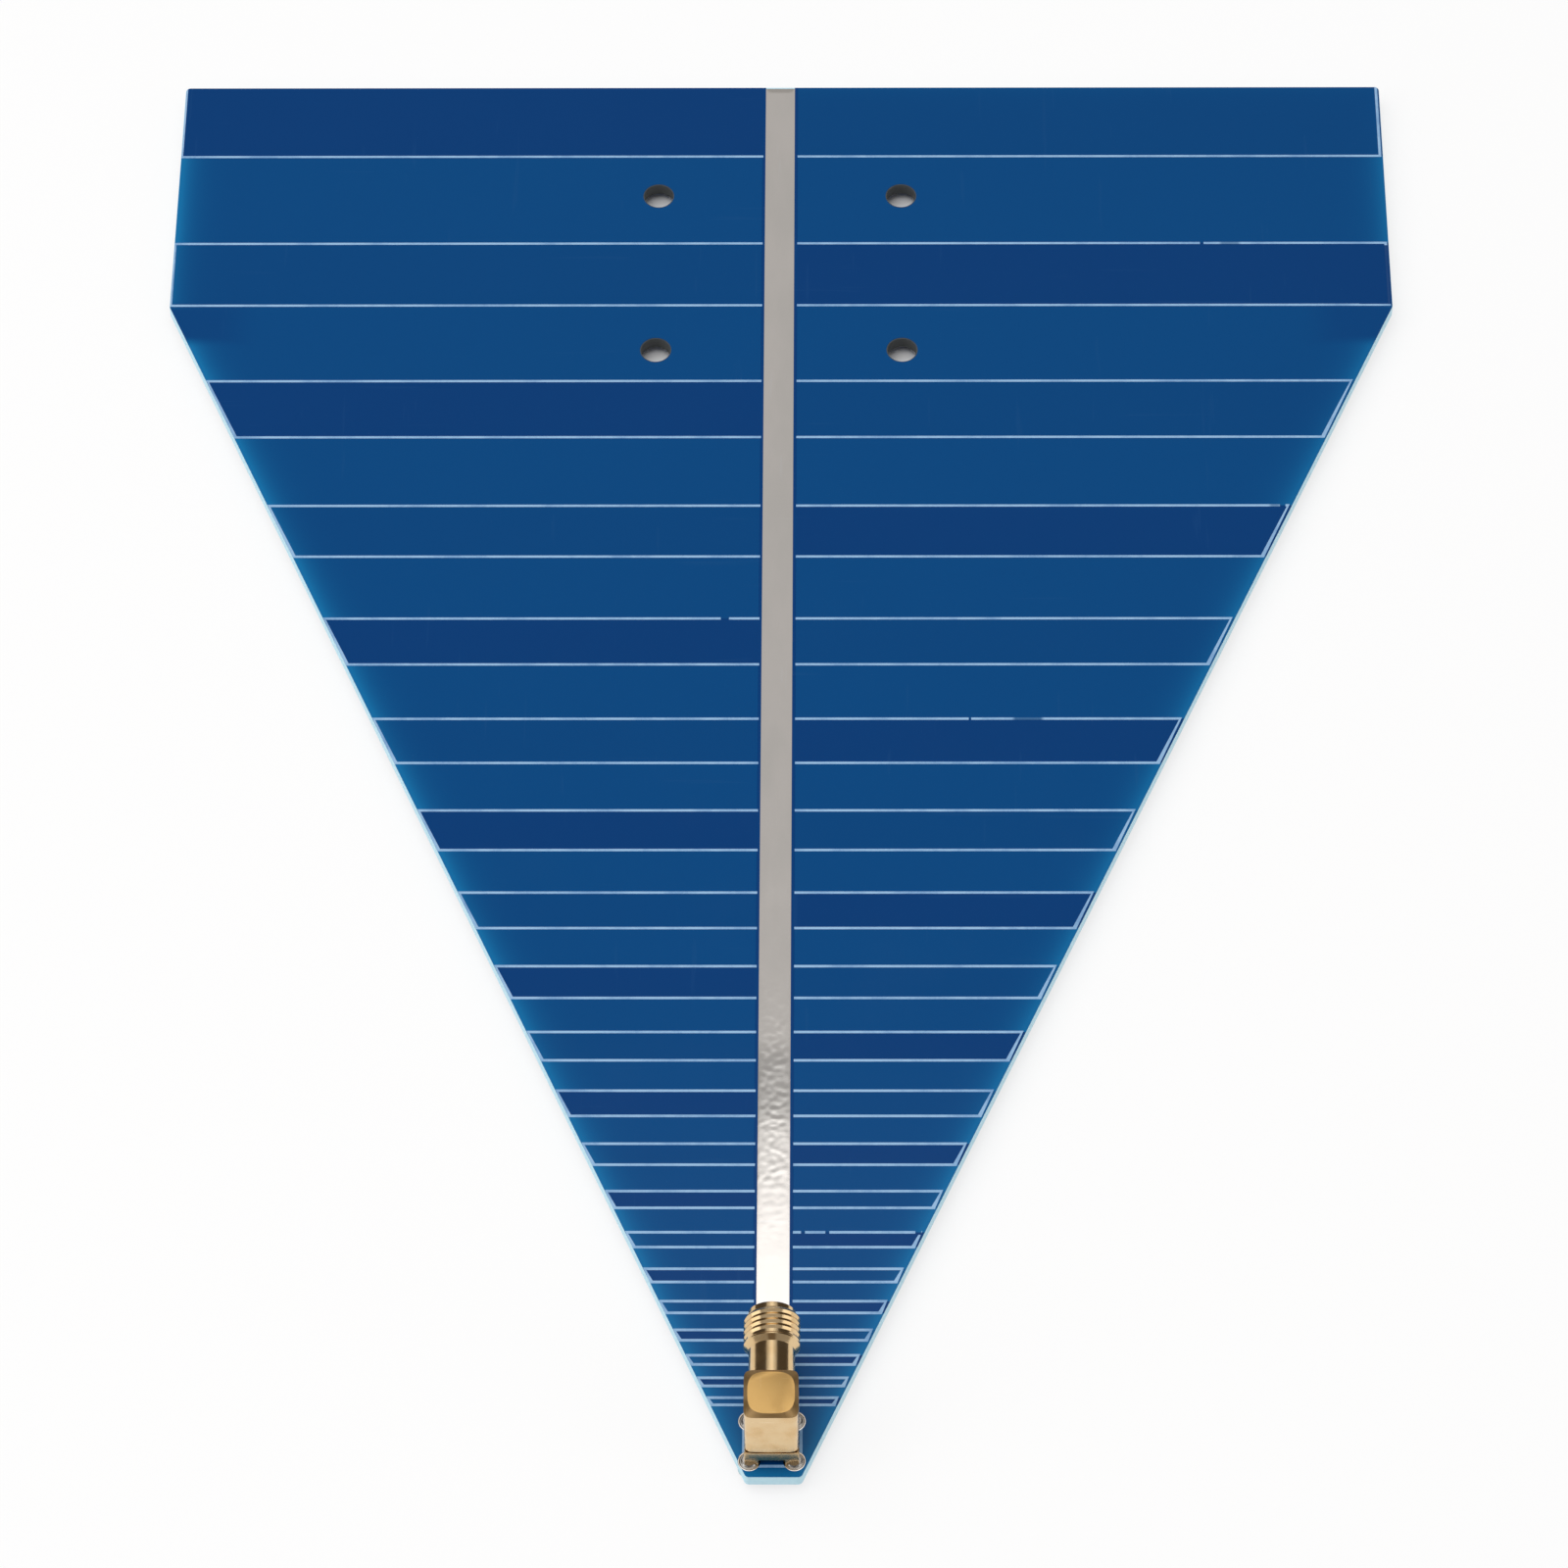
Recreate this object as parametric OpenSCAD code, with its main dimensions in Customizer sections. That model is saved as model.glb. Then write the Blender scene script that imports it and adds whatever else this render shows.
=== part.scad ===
// Printed log-periodic antenna with a right-angle coaxial jack.
//
// The board lies in the XY plane and its front faces +Z.  Its narrow tip points to -Y and carries
// the jack; its wide end points to +Y.  The origin is the middle of the four mounting holes, on the
// back face of the laminate.  X = 0 is the line of the drilled and etched pattern; the routed
// outline and the printed legend both sit a little to the right of it.
// All sizes are in millimetres.

/* [Board] */
// Width of the board across its parallel-sided end
board_w = 154.6; // [130:0.2:180]
// Length of the board from the wide end to the tip
board_l = 204.9; // [180:0.1:230]
// Length of the parallel-sided end
shoulder_l = 36.7; // [30:0.1:45]
// Width of the cut-off tip
tip_w = 6.25; // [5:0.05:12]
// Thickness of the laminate
board_t = 1.6; // [0.8:0.1:2.4]
// Radius of the routed corners
corner_r = 0.6; // [0.2:0.1:1.5]
// How far the routed outline sits to the right of the etched pattern
outline_shift = 0.2; // [-0.4:0.05:0.4]

/* [Mounting holes] */
// Diameter of the four mounting holes
hole_d = 3.7; // [2.5:0.1:4.5]
// Spacing of the mounting holes across the board
hole_pitch_x = 31; // [24:0.1:40]
// Spacing of the mounting holes along the board
hole_pitch_y = 25.3; // [18:0.1:28]
// Distance from the wide end to the middle of the four holes
hole_setback = 31; // [24:0.1:40]
// Bare ring that the solder mask leaves round each mounting hole
hole_mask_gap = 0.12; // [0.05:0.01:0.4]

/* [Antenna pattern] */
// Number of arms on each side of the boom
arm_count = 20; // [12:1:22]
// Ratio of each arm's distance from the apex to that of the arm before it
arm_ratio = 0.8805; // [0.86:0.0005:0.9]
// Distance from the tip of the board to the apex that the arms converge on
apex_beyond_tip = 8.75; // [8:0.05:12]
// Distance from the wide end to the nominal middle of the first arm
first_arm_setback = 6.6; // [6:0.1:9]
// Width of the first arm as a share of its distance from the apex
first_share = 0.0567; // [0.045:0.0001:0.062]
// Number of arms, from the wide end, that have the broad proportion
broad_arms = 12; // [1:1:20]
// Width of a broad arm as a share of its distance from the apex
broad_share = 0.0557; // [0.045:0.0001:0.062]
// Number of the first arm in the broadest group
broadest_from = 5; // [1:1:9]
// Number of the last arm in the broadest group
broadest_to = 10; // [1:1:19]
// Width of an arm of the broadest group as a share of its distance from the apex
broadest_share = 0.0596; // [0.045:0.0001:0.064]
// Width of a slim arm as a share of its distance from the apex
slim_share = 0.0499; // [0.04:0.0001:0.056]
// Width of the copper boom that feeds the arms
boom_w = 4.5; // [3.6:0.05:6]
// Width of the bare, solder-coated band along the boom
window_w = 3.74; // [2.5:0.02:5]
// Distance from the copper to the routed edge
copper_edge_gap = 0.2; // [0.1:0.05:0.8]

/* [Layers] */
// Thickness of the copper foil
copper_t = 0.035; // [0.018:0.001:0.105]
// Thickness of the solder mask over the copper
mask_t = 0.025; // [0.01:0.005:0.06]
// Thickness of the solder coating on bare copper
tin_t = 0.02; // [0.005:0.005:0.05]
// Thickness of the printed legend
legend_t = 0.02; // [0.01:0.005:0.05]
// Distance from the solder mask to the routed edge
mask_edge_gap = 0.05; // [0.02:0.01:0.3]

/* [Legend] */
// Width of the printed lines
line_w = 0.34; // [0.15:0.01:0.6]
// Distance from a tapered edge to the middle of the line round an arm's end
line_inset = 0.32; // [0.2:0.01:0.8]
// Distance from a parallel side to the middle of the line round an arm's end
side_line_inset = 0.25; // [0.2:0.01:0.8]
// How far the print sits to the right of the etched pattern
print_shift = 0.05; // [-0.4:0.05:0.4]
// Gap between the bare band of the boom and the ends of the printed lines
line_boom_gap = 0.33; // [0.2:0.01:1]

/* [Jack on the board] */
// Distance from the tip of the board to the middle of the jack
jack_setback = 4.6; // [4:0.05:8]
// Spacing of the jack's legs, both ways
leg_pitch = 5.08; // [4.8:0.01:5.4]
// Width of each square leg
leg_w = 1.02; // [0.7:0.01:1.1]
// Length of leg that stands out behind the laminate
leg_out = 1.25; // [0.8:0.05:2.5]
// Radius of the solder pad round each leg
pad_r = 1.14; // [1.05:0.01:1.3]
// Diameter of the plated hole for a leg
leg_hole_d = 1.5; // [1.3:0.01:1.6]
// Radius of the solder pad round the centre pin
pin_pad_r = 0.95; // [0.8:0.01:1.1]
// Diameter of the plated hole for the centre pin
pin_hole_d = 1.1; // [1:0.01:1.25]
// Wall of the copper plating in the holes
plating_t = 0.05; // [0.02:0.01:0.08]
// Gap etched round a pad of the other conductor
antipad_gap = 0.3; // [0.2:0.05:0.4]
// Width of the neck that leads from the back boom to the centre pin
neck_w = 1.3; // [0.8:0.05:1.6]

/* [Jack body] */
// Width of the square body
body_w = 6.1; // [6.06:0.02:6.6]
// Height of the body's top above the feet
body_h = 10.95; // [10:0.05:13]
// Height of the corner feet that hold the body off the board
foot_h = 1; // [0.6:0.05:1.4]
// Width of each square foot
foot_w = 1.55; // [1.1:0.01:1.8]
// Height of the uncut square base, from the feet's lower ends
base_h = 2.6; // [2:0.05:2.8]
// Height of the turned groove over the base
groove_h = 0.32; // [0.1:0.02:0.5]
// Radius of the turned groove
groove_r = 2.9; // [2.75:0.01:3]
// Radius that the corners are turned to above the base
turned_r = 3.35; // [3.2:0.01:3.9]
// Chamfer round the top
top_chamfer = 0.38; // [0.1:0.02:0.6]
// Height of the barrel's axis above the feet's lower ends
axis_h = 6.3; // [6.1:0.05:7]

/* [Jack barrel] */
// Distance from the middle of the body to the barrel's open end
nose_reach = 12.85; // [12.5:0.05:15]
// Diameter over the thread
thread_d = 6.35; // [6.2:0.01:6.4]
// Distance from the open end to the inner end of the threaded part
thread_back = 4.45; // [3.5:0.05:5.5]
// Diameter of the neck behind the thread
neck_d = 5.2; // [4.9:0.05:5.5]
// Diameter of the plain lip at the open end
lip_d = 5.3; // [5:0.02:5.6]
// Length of the plain lip
lip_l = 0.3; // [0.1:0.05:0.6]
// Depth that the barrel is pressed into the body
press_depth = 0.9; // [0.6:0.05:0.95]
// Diameter of the socket in the open end
socket_d = 4.6; // [4.5:0.01:4.7]
// Depth of the socket
socket_depth = 1.93; // [1.5:0.01:2.5]

/* [Jack conductors] */
// Diameter of the insulator
insulator_d = 4.1; // [3.9:0.02:4.2]
// Diameter of the centre contact
contact_d = 1.27; // [1:0.01:1.4]
// Diameter of the hole in the centre contact
contact_bore = 0.94; // [0.8:0.01:0.98]
// Depth of the hole in the centre contact
contact_depth = 3.2; // [2.5:0.1:4]
// Width of the slots that make the contact springy
slot_w = 0.14; // [0.08:0.01:0.25]
// Diameter of the centre pin that goes through the board
pin_d = 0.9; // [0.7:0.01:0.98]
// Diameter of the contact's tail, which goes through the centre pin
tail_d = 0.46; // [0.3:0.01:0.55]

/* [Solder] */
// Height of the solder round each leg behind the board
solder_h = 0.85; // [0.3:0.05:1]
// Height of the solder that has wicked up on the front of the board
solder_front_h = 0.28; // [0.1:0.02:0.5]
// Distance from the solder's foot to the rim of its pad
solder_rim = 0.12; // [0.05:0.01:0.3]

/* [Hidden] */
$fn = 64;

// Overshoot of cutting tools past the faces that they cut
cut = 1;

// Places along the board
wide_y = hole_setback;
tip_y = wide_y - board_l;
shoulder_y = wide_y - shoulder_l;
apex_y = tip_y - apex_beyond_tip;
jack_y = tip_y + jack_setback;

// Heights of the layers, with the laminate's back face at 0
front_copper_z = board_t + copper_t;
front_mask_z = front_copper_z + mask_t;
front_pad_z = front_copper_z + tin_t;
stand_z = max(front_pad_z, front_mask_z);
back_copper_z = -copper_t;
back_mask_z = back_copper_z - mask_t;
back_pad_z = back_copper_z - tin_t;

// Taper of the board's long edges
taper = atan((board_w - tip_w) / 2 / (shoulder_y - tip_y));

// Small clearances and overlaps
pin_land = 0.2;
window_jack_gap = 1.2;
mask_pad_gap = 0.06;
band_end_gap = 0.4;
print_clear = 0.15;
chamber_clear = 0.2;
pin_over = 0.35;
tail_over = 0.3;
slot_stop = 0.8;
solder_skin = 0.02;
least_corner_r = 0.05;

// Sizes that belong to more than one piece
leg_x = leg_pitch / 2;
leg_drill_r = leg_hole_d / 2 + plating_t;
pin_drill_r = pin_hole_d / 2 + plating_t;
pin_front_pad_r = pin_drill_r + pin_land;
boom_back_end = jack_y + leg_x + pad_r + antipad_gap;
boom_front_end = jack_y - leg_x;
window_end = jack_y + body_w / 2 + window_jack_gap;
window_back_end = boom_back_end + band_end_gap;
insulator_r = insulator_d / 2;
reference_y = nose_reach - socket_depth;
barrel_start = body_w / 2 - press_depth;
chamber_floor = axis_h - contact_d / 2 - chamber_clear;
pin_top = axis_h + tail_d / 2 + pin_over;
lead_chamfer = (thread_d - lip_d) / 2;
back_chamfer = (thread_d - neck_d) / 2;

// Worn places in the print: [arm, side of the boom, long edge (1 wide, -1 tip), from, to], the last
// two as shares of the board's half-width
WORN = [
    [1, 1, 1, 0.692, 0.698], [3, 1, 1, 0.802, 0.811], [4, -1, 1, 0.076, 0.089],
    [5, 1, 1, 0.300, 0.304], [13, 1, 1, 0.041, 0.047], [13, 1, 1, 0.077, 0.083],
    [13, 1, 1, 0.210, 0.219]
];

// ---- the log-periodic rule ----

// Middle of arm k, counted from the wide end; the first arm ends flush with the board
function arm_reach(k) = (board_l + apex_beyond_tip - first_arm_setback) * pow(arm_ratio, k);
function arm_share(k) =
    k == 0 ? first_share :
    k >= broad_arms ? slim_share :
    k >= broadest_from && k <= broadest_to ? broadest_share : broad_share;
function arm_w(k) = arm_reach(k) * arm_share(k);
function arm_mid(k) = k == 0 ? wide_y - arm_w(0) / 2 : apex_y + arm_reach(k);

// Arms alternate: the front copper has the left arm of even rows and the right arm of odd rows
function front_side(k) = k % 2 == 0 ? -1 : 1;

// ---- outlines ----

function unit(v) = v / norm(v);

// Points of an arc of radius r that rounds the convex corner b between a and c
function corner_arc(a, b, c, r, steps = 6) =
    let (
        u = unit(a - b),
        v = unit(c - b),
        half = acos(u * v) / 2,
        centre = b + unit(u + v) * r / sin(half),
        from = b + u * r / tan(half) - centre,
        start = atan2(from[1], from[0]),
        sweep = 180 - 2 * half
    )
    [for (i = [0:steps]) let (t = start + sweep * i / steps) centre + r * [cos(t), sin(t)]];

// The board's six corners, moved in by g on every side and anticlockwise from the tip
function board_corners(g) =
    let (
        x_wide = board_w / 2 - g,
        x_tip = tip_w / 2 + g * tan(taper) - g / cos(taper),
        y_shoulder = shoulder_y + g * (1 / cos(taper) - 1) / tan(taper)
    )
    [
        [x_tip, tip_y + g], [x_wide, y_shoulder], [x_wide, wide_y - g],
        [-x_wide, wide_y - g], [-x_wide, y_shoulder], [-x_tip, tip_y + g]
    ];

module board_shape(g = 0) {
    c = board_corners(g);
    n = len(c);
    r = max(corner_r - g, least_corner_r);
    translate([outline_shift, 0])
        polygon([for (i = [0:n - 1]) each corner_arc(c[(i + n - 1) % n], c[i], c[(i + 1) % n], r)]);
}

// Half-width, at y, of the line that runs g inside the tapered edges
function tapered_half(y, g) = tip_w / 2 + (y - tip_y) * tan(taper) - g / cos(taper);

// ---- placing ----

module slab(z, t) {
    translate([0, 0, z]) linear_extrude(t) children();
}

module at_mounting_holes() {
    for (sx = [-1, 1], sy = [-1, 1])
        translate([sx * hole_pitch_x / 2, sy * hole_pitch_y / 2]) children();
}

module at_legs() {
    for (sx = [-1, 1], sy = [-1, 1])
        translate([sx * leg_x, jack_y + sy * leg_x]) children();
}

module at_pin() {
    translate([0, jack_y]) children();
}

// The jack's own frame: middle of the body, at the height where its feet stand
module at_jack() {
    translate([0, jack_y, stand_z]) children();
}

// Turns a profile drawn as (radius, distance along the barrel) about the barrel's axis
module turned_on_barrel() {
    translate([0, 0, axis_h]) rotate([-90, 0, 0]) rotate_extrude() children();
}

// ---- the board ----

module through_holes(z, t, mount_r, leg_r, pin_r) {
    translate([0, 0, z - cut]) {
        at_mounting_holes() cylinder(h = t + 2 * cut, r = mount_r);
        at_legs() cylinder(h = t + 2 * cut, r = leg_r);
        at_pin() cylinder(h = t + 2 * cut, r = pin_r);
    }
}

module laminate() {
    color([0.78, 0.76, 0.6])
        difference() {
            slab(0, board_t) board_shape();
            through_holes(0, board_t, hole_d / 2, leg_drill_r, pin_drill_r);
        }
}

// One arm as a strip from the boom's middle line to beyond the edge of the board
module arm_strip(k, side) {
    w = arm_w(k);
    translate([side > 0 ? 0 : -board_w, arm_mid(k) - w / 2]) square([board_w, w]);
}

module arms(front) {
    for (k = [0:arm_count - 1]) arm_strip(k, front ? front_side(k) : -front_side(k));
}

module boom_strip(w, end_y) {
    translate([-w / 2, end_y]) square([w, wide_y - end_y]);
}

// Copper of one face: boom and arms inside the board's edge, and the pads of the jack
module copper_front() {
    color([0.72, 0.45, 0.2])
        difference() {
            union() {
                intersection() {
                    slab(board_t, copper_t) board_shape(copper_edge_gap);
                    slab(board_t, copper_t) {
                        boom_strip(boom_w, boom_front_end);
                        arms(true);
                    }
                }
                intersection() {
                    slab(board_t, copper_t) board_shape(mask_edge_gap);
                    slab(board_t, copper_t) at_legs() circle(r = pad_r);
                }
            }
            // The centre pin stands clear in an etched ring with its own small land
            translate([0, 0, board_t - cut]) at_pin() difference() {
                cylinder(h = copper_t + 2 * cut, r = pin_front_pad_r + antipad_gap);
                cylinder(h = copper_t + 2 * cut, r = pin_front_pad_r);
            }
            through_holes(board_t, copper_t, hole_d / 2, leg_drill_r, pin_drill_r);
        }
}

module copper_back() {
    color([0.72, 0.45, 0.2])
        difference() {
            union() {
                intersection() {
                    slab(back_copper_z, copper_t) board_shape(copper_edge_gap);
                    slab(back_copper_z, copper_t) {
                        boom_strip(boom_w, boom_back_end);
                        boom_strip(neck_w, jack_y);
                        arms(false);
                    }
                }
                intersection() {
                    slab(back_copper_z, copper_t) board_shape(mask_edge_gap);
                    slab(back_copper_z, copper_t) {
                        at_legs() circle(r = pad_r);
                        at_pin() circle(r = pin_pad_r);
                    }
                }
            }
            through_holes(back_copper_z, copper_t, hole_d / 2, leg_drill_r, pin_drill_r);
        }
}

module plated_tube(inner_r) {
    translate([0, 0, back_copper_z])
        difference() {
            cylinder(h = board_t + 2 * copper_t, r = inner_r + plating_t);
            translate([0, 0, -cut]) cylinder(h = board_t + 2 * copper_t + 2 * cut, r = inner_r);
        }
}

module hole_plating() {
    color([0.72, 0.45, 0.2]) {
        at_legs() plated_tube(leg_hole_d / 2);
        at_pin() plated_tube(pin_hole_d / 2);
    }
}

// The solder mask fills up to the copper's level and covers it, but for the windows
module mask_front() {
    depth = copper_t + mask_t;
    color([0.05, 0.28, 0.5])
        difference() {
            slab(board_t, depth) board_shape(mask_edge_gap);
            copper_front();
            translate([-window_w / 2, window_end, board_t - cut])
                cube([window_w, wide_y - window_end + cut, depth + 2 * cut]);
            through_holes(board_t, depth, hole_d / 2 + hole_mask_gap, pad_r + mask_pad_gap, pin_drill_r);
        }
}

module mask_back() {
    depth = copper_t + mask_t;
    color([0.05, 0.28, 0.5])
        difference() {
            slab(back_mask_z, depth) board_shape(mask_edge_gap);
            copper_back();
            translate([-window_w / 2, window_back_end, back_mask_z - cut])
                cube([window_w, wide_y - window_back_end + cut, depth + 2 * cut]);
            through_holes(back_mask_z, depth, hole_d / 2 + hole_mask_gap, pad_r + mask_pad_gap,
                pin_pad_r + mask_pad_gap);
        }
}

// Solder coating on what the mask leaves bare: the band along the boom, and the pads
module tin_front() {
    color([0.8, 0.79, 0.77]) {
        slab(front_copper_z, tin_t)
            translate([-window_w / 2, window_end])
                square([window_w, wide_y - copper_edge_gap - window_end]);
        at_legs() pad_coat(front_copper_z, pad_r, leg_hole_d / 2);
    }
}

module tin_back() {
    color([0.8, 0.79, 0.77]) {
        slab(back_pad_z, tin_t)
            translate([-window_w / 2, window_back_end])
                square([window_w, wide_y - copper_edge_gap - window_back_end]);
        at_legs() pad_coat(back_pad_z, pad_r, leg_hole_d / 2);
        at_pin() pad_coat(back_pad_z, pin_pad_r, pin_hole_d / 2);
    }
}

module pad_coat(z, outer_r, inner_r) {
    slab(z, tin_t) difference() {
        circle(r = outer_r);
        circle(r = inner_r);
    }
}

// ---- the printed legend ----

// Half-width, at y, of the line round the arms' ends, moved inwards by g
function line_end(y, g) =
    min(board_w / 2 - side_line_inset - g, tapered_half(y, line_inset + g));

// Closed outline of one arm on one side, open towards the boom
module arm_line(k, side) {
    h = line_w / 2;
    // The first arm's outer long edge lies past the end of the board
    y_hi = k == 0 ? wide_y + cut : arm_mid(k) + arm_w(k) / 2;
    y_lo = arm_mid(k) - arm_w(k) / 2;
    x_in = window_w / 2 + line_boom_gap;
    points = [
        [x_in, y_lo - h],
        [line_end(y_lo, -h), y_lo - h],
        [line_end(y_hi, -h), y_hi + h],
        [x_in, y_hi + h],
        [x_in, y_hi - h],
        [line_end(y_hi, h), y_hi - h],
        [line_end(y_lo, h), y_lo + h],
        [x_in, y_lo + h]
    ];
    polygon([for (p = points) [side * p[0], p[1]]]);
}

module worn_places() {
    for (p = WORN) {
        near = p[3] * board_w / 2;
        far = p[4] * board_w / 2;
        translate([p[1] > 0 ? near : -far, arm_mid(p[0]) + p[2] * arm_w(p[0]) / 2 - line_w])
            square([far - near, 2 * line_w]);
    }
}

// Square printed round the jack, broken at the pads
module jack_square() {
    half = body_w / 2 + print_clear;
    difference() {
        square(2 * half + line_w, center = true);
        square(2 * half - line_w, center = true);
    }
}

module legend_front() {
    pad_clear = pad_r + print_clear;
    color([0.93, 0.95, 0.97])
        difference() {
            intersection() {
                slab(front_mask_z, legend_t) board_shape(mask_edge_gap);
                slab(front_mask_z, legend_t) translate([print_shift, 0]) {
                    for (k = [0:arm_count - 1], side = [-1, 1]) arm_line(k, side);
                    at_pin() jack_square();
                }
            }
            slab(front_mask_z - cut, legend_t + 2 * cut) {
                worn_places();
                at_legs() circle(r = pad_clear);
            }
        }
}

// ---- the jack ----

// Square bar, turned round above its base, with the chamfers of its top
module turned_bar() {
    half = body_w / 2;
    side_profile = [
        [-half, 0], [half, 0], [half, body_h - top_chamfer], [half - top_chamfer, body_h],
        [top_chamfer - half, body_h], [-half, body_h - top_chamfer]
    ];
    groove_top = base_h + groove_h;
    intersection() {
        rotate([90, 0, 0]) linear_extrude(body_w + 2 * cut, center = true) polygon(side_profile);
        rotate([90, 0, 90]) linear_extrude(body_w + 2 * cut, center = true) polygon(side_profile);
        rotate_extrude() polygon([
            [0, 0], [body_w, 0], [body_w, base_h], [groove_r, base_h], [groove_r, groove_top],
            [turned_r, groove_top], [turned_r, body_h - top_chamfer],
            [turned_r - top_chamfer, body_h], [0, body_h]
        ]);
    }
}

// Four square posts of width w, with their middles at (+-x, +-x)
module four_posts(x, w, z, h) {
    for (sx = [-1, 1], sy = [-1, 1])
        translate([sx * x - w / 2, sy * x - w / 2, z]) cube([w, w, h]);
}

module jack_body() {
    gap = body_w - 2 * foot_w;
    leg_len = stand_z + leg_out;
    color([0.83, 0.66, 0.35])
        at_jack() {
            difference() {
                turned_bar();
                // Crossed slots under the base leave the four feet
                for (a = [0, 90]) rotate(a)
                    translate([-gap / 2, -body_w, -cut]) cube([gap, 2 * body_w, foot_h + cut]);
                // Bore for the lower insulator and chamber round the joint of the conductors
                translate([0, 0, foot_h - cut])
                    cylinder(h = axis_h + insulator_r - foot_h + cut, r = insulator_r);
                // Seat of the barrel, and the way through to the chamber
                turned_on_barrel() square([insulator_r, body_w / 2 + cut]);
                turned_on_barrel() translate([0, barrel_start]) square([neck_d / 2, press_depth + cut]);
            }
            four_posts(leg_x, leg_w, -leg_len, leg_len);
        }
}

module jack_barrel() {
    thread_start = nose_reach - thread_back;
    thread_end = nose_reach - lip_l - lead_chamfer;
    color([0.85, 0.69, 0.38])
        at_jack() turned_on_barrel() polygon([
            [insulator_r, barrel_start], [neck_d / 2, barrel_start],
            [neck_d / 2, thread_start - back_chamfer], [thread_d / 2, thread_start],
            [thread_d / 2, thread_end], [lip_d / 2, thread_end + lead_chamfer],
            [lip_d / 2, nose_reach], [socket_d / 2, nose_reach],
            [socket_d / 2, reference_y], [insulator_r, reference_y]
        ]);
}

module barrel_insulator() {
    color([0.95, 0.95, 0.93])
        at_jack() turned_on_barrel()
            translate([contact_d / 2, barrel_start])
                square([insulator_r - contact_d / 2, reference_y - barrel_start]);
}

module body_insulator() {
    color([0.95, 0.95, 0.93])
        at_jack() translate([0, 0, foot_h])
            difference() {
                cylinder(h = chamber_floor - foot_h, r = insulator_r);
                translate([0, 0, -cut]) cylinder(h = chamber_floor + cut, r = pin_d / 2);
            }
}

module centre_contact() {
    slot_depth = contact_depth - slot_stop;
    tail_start = -pin_d / 2 - tail_over;
    color([0.86, 0.7, 0.36])
        at_jack() difference() {
            union() {
                turned_on_barrel() translate([0, barrel_start])
                    square([contact_d / 2, reference_y - barrel_start]);
                turned_on_barrel() translate([0, tail_start])
                    square([tail_d / 2, barrel_start - tail_start]);
            }
            turned_on_barrel() translate([0, reference_y - contact_depth])
                square([contact_bore / 2, contact_depth + cut]);
            for (a = [0, 90])
                translate([0, reference_y, axis_h]) rotate([0, a, 0])
                    translate([-slot_w / 2, -slot_depth, -contact_d])
                        cube([slot_w, slot_depth + cut, 2 * contact_d]);
        }
}

module centre_pin() {
    below = stand_z + leg_out;
    color([0.86, 0.7, 0.36])
        at_jack() difference() {
            translate([0, 0, -below]) cylinder(h = below + pin_top, r = pin_d / 2);
            turned_on_barrel() translate([0, -pin_d]) square([tail_d / 2, 2 * pin_d]);
        }
}

// ---- solder ----

// Half-profile of solder that climbs from radius foot_r to a post of radius post_r over height h
function fillet_profile(foot_r, post_r, h, steps = 6) = concat(
    [[0, 0]],
    [for (i = [0:steps]) let (t = 90 * i / steps)
        [post_r + (foot_r - post_r) * (1 - sin(t)), h * (1 - cos(t))]],
    [[0, h]]
);

module solder_legs() {
    foot_r = pad_r - solder_rim;
    post_r = leg_w * sqrt(0.5) + solder_skin;
    color([0.75, 0.75, 0.76])
        difference() {
            at_legs() {
                translate([0, 0, front_pad_z]) rotate_extrude()
                    polygon(fillet_profile(foot_r, post_r, solder_front_h));
                translate([0, 0, back_pad_z])
                    cylinder(h = front_pad_z - back_pad_z, r = leg_hole_d / 2);
                translate([0, 0, back_pad_z]) mirror([0, 0, 1]) rotate_extrude()
                    polygon(fillet_profile(foot_r, post_r, solder_h));
            }
            at_jack() four_posts(leg_x, leg_w, -2 * board_t, 4 * board_t);
            at_jack() four_posts((body_w - foot_w) / 2, foot_w, 0, foot_h);
        }
}

module solder_pin() {
    foot_r = pin_pad_r - solder_rim;
    color([0.75, 0.75, 0.76])
        at_pin() difference() {
            union() {
                translate([0, 0, back_pad_z]) cylinder(h = front_copper_z - back_pad_z, r = pin_hole_d / 2);
                translate([0, 0, back_pad_z]) mirror([0, 0, 1]) rotate_extrude()
                    polygon(fillet_profile(foot_r, pin_d / 2 + solder_skin, solder_h));
            }
            translate([0, 0, -2 * board_t]) cylinder(h = 4 * board_t, r = pin_d / 2);
        }
}

laminate();
copper_front();
copper_back();
hole_plating();
mask_front();
mask_back();
tin_front();
tin_back();
legend_front();
jack_body();
jack_barrel();
barrel_insulator();
body_insulator();
centre_contact();
centre_pin();
solder_legs();
solder_pin();
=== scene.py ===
# %% [markdown]
# # A printed log-periodic antenna, dressed in Blender
#
# The object is a flat circuit board with a gold-plated coaxial jack soldered to its narrow tip.
# Its solids come from a CAD model and are loaded as a fixed frame: every layer of the board is a
# node that already has the right shape.  What is left for Blender is what a drawing can't hold,
# which is how each layer looks, how the solder coat bulges and creases, and the thread of the
# jack.
#
# The scene is made in this order: the frame, the sizes that finishes and new pieces share, small
# helpers, shader groups, materials, new pieces, and at the end the floor, the lamps and the
# camera.

import math

import bmesh
import bpy
from mathutils import Matrix, Vector, noise


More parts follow.
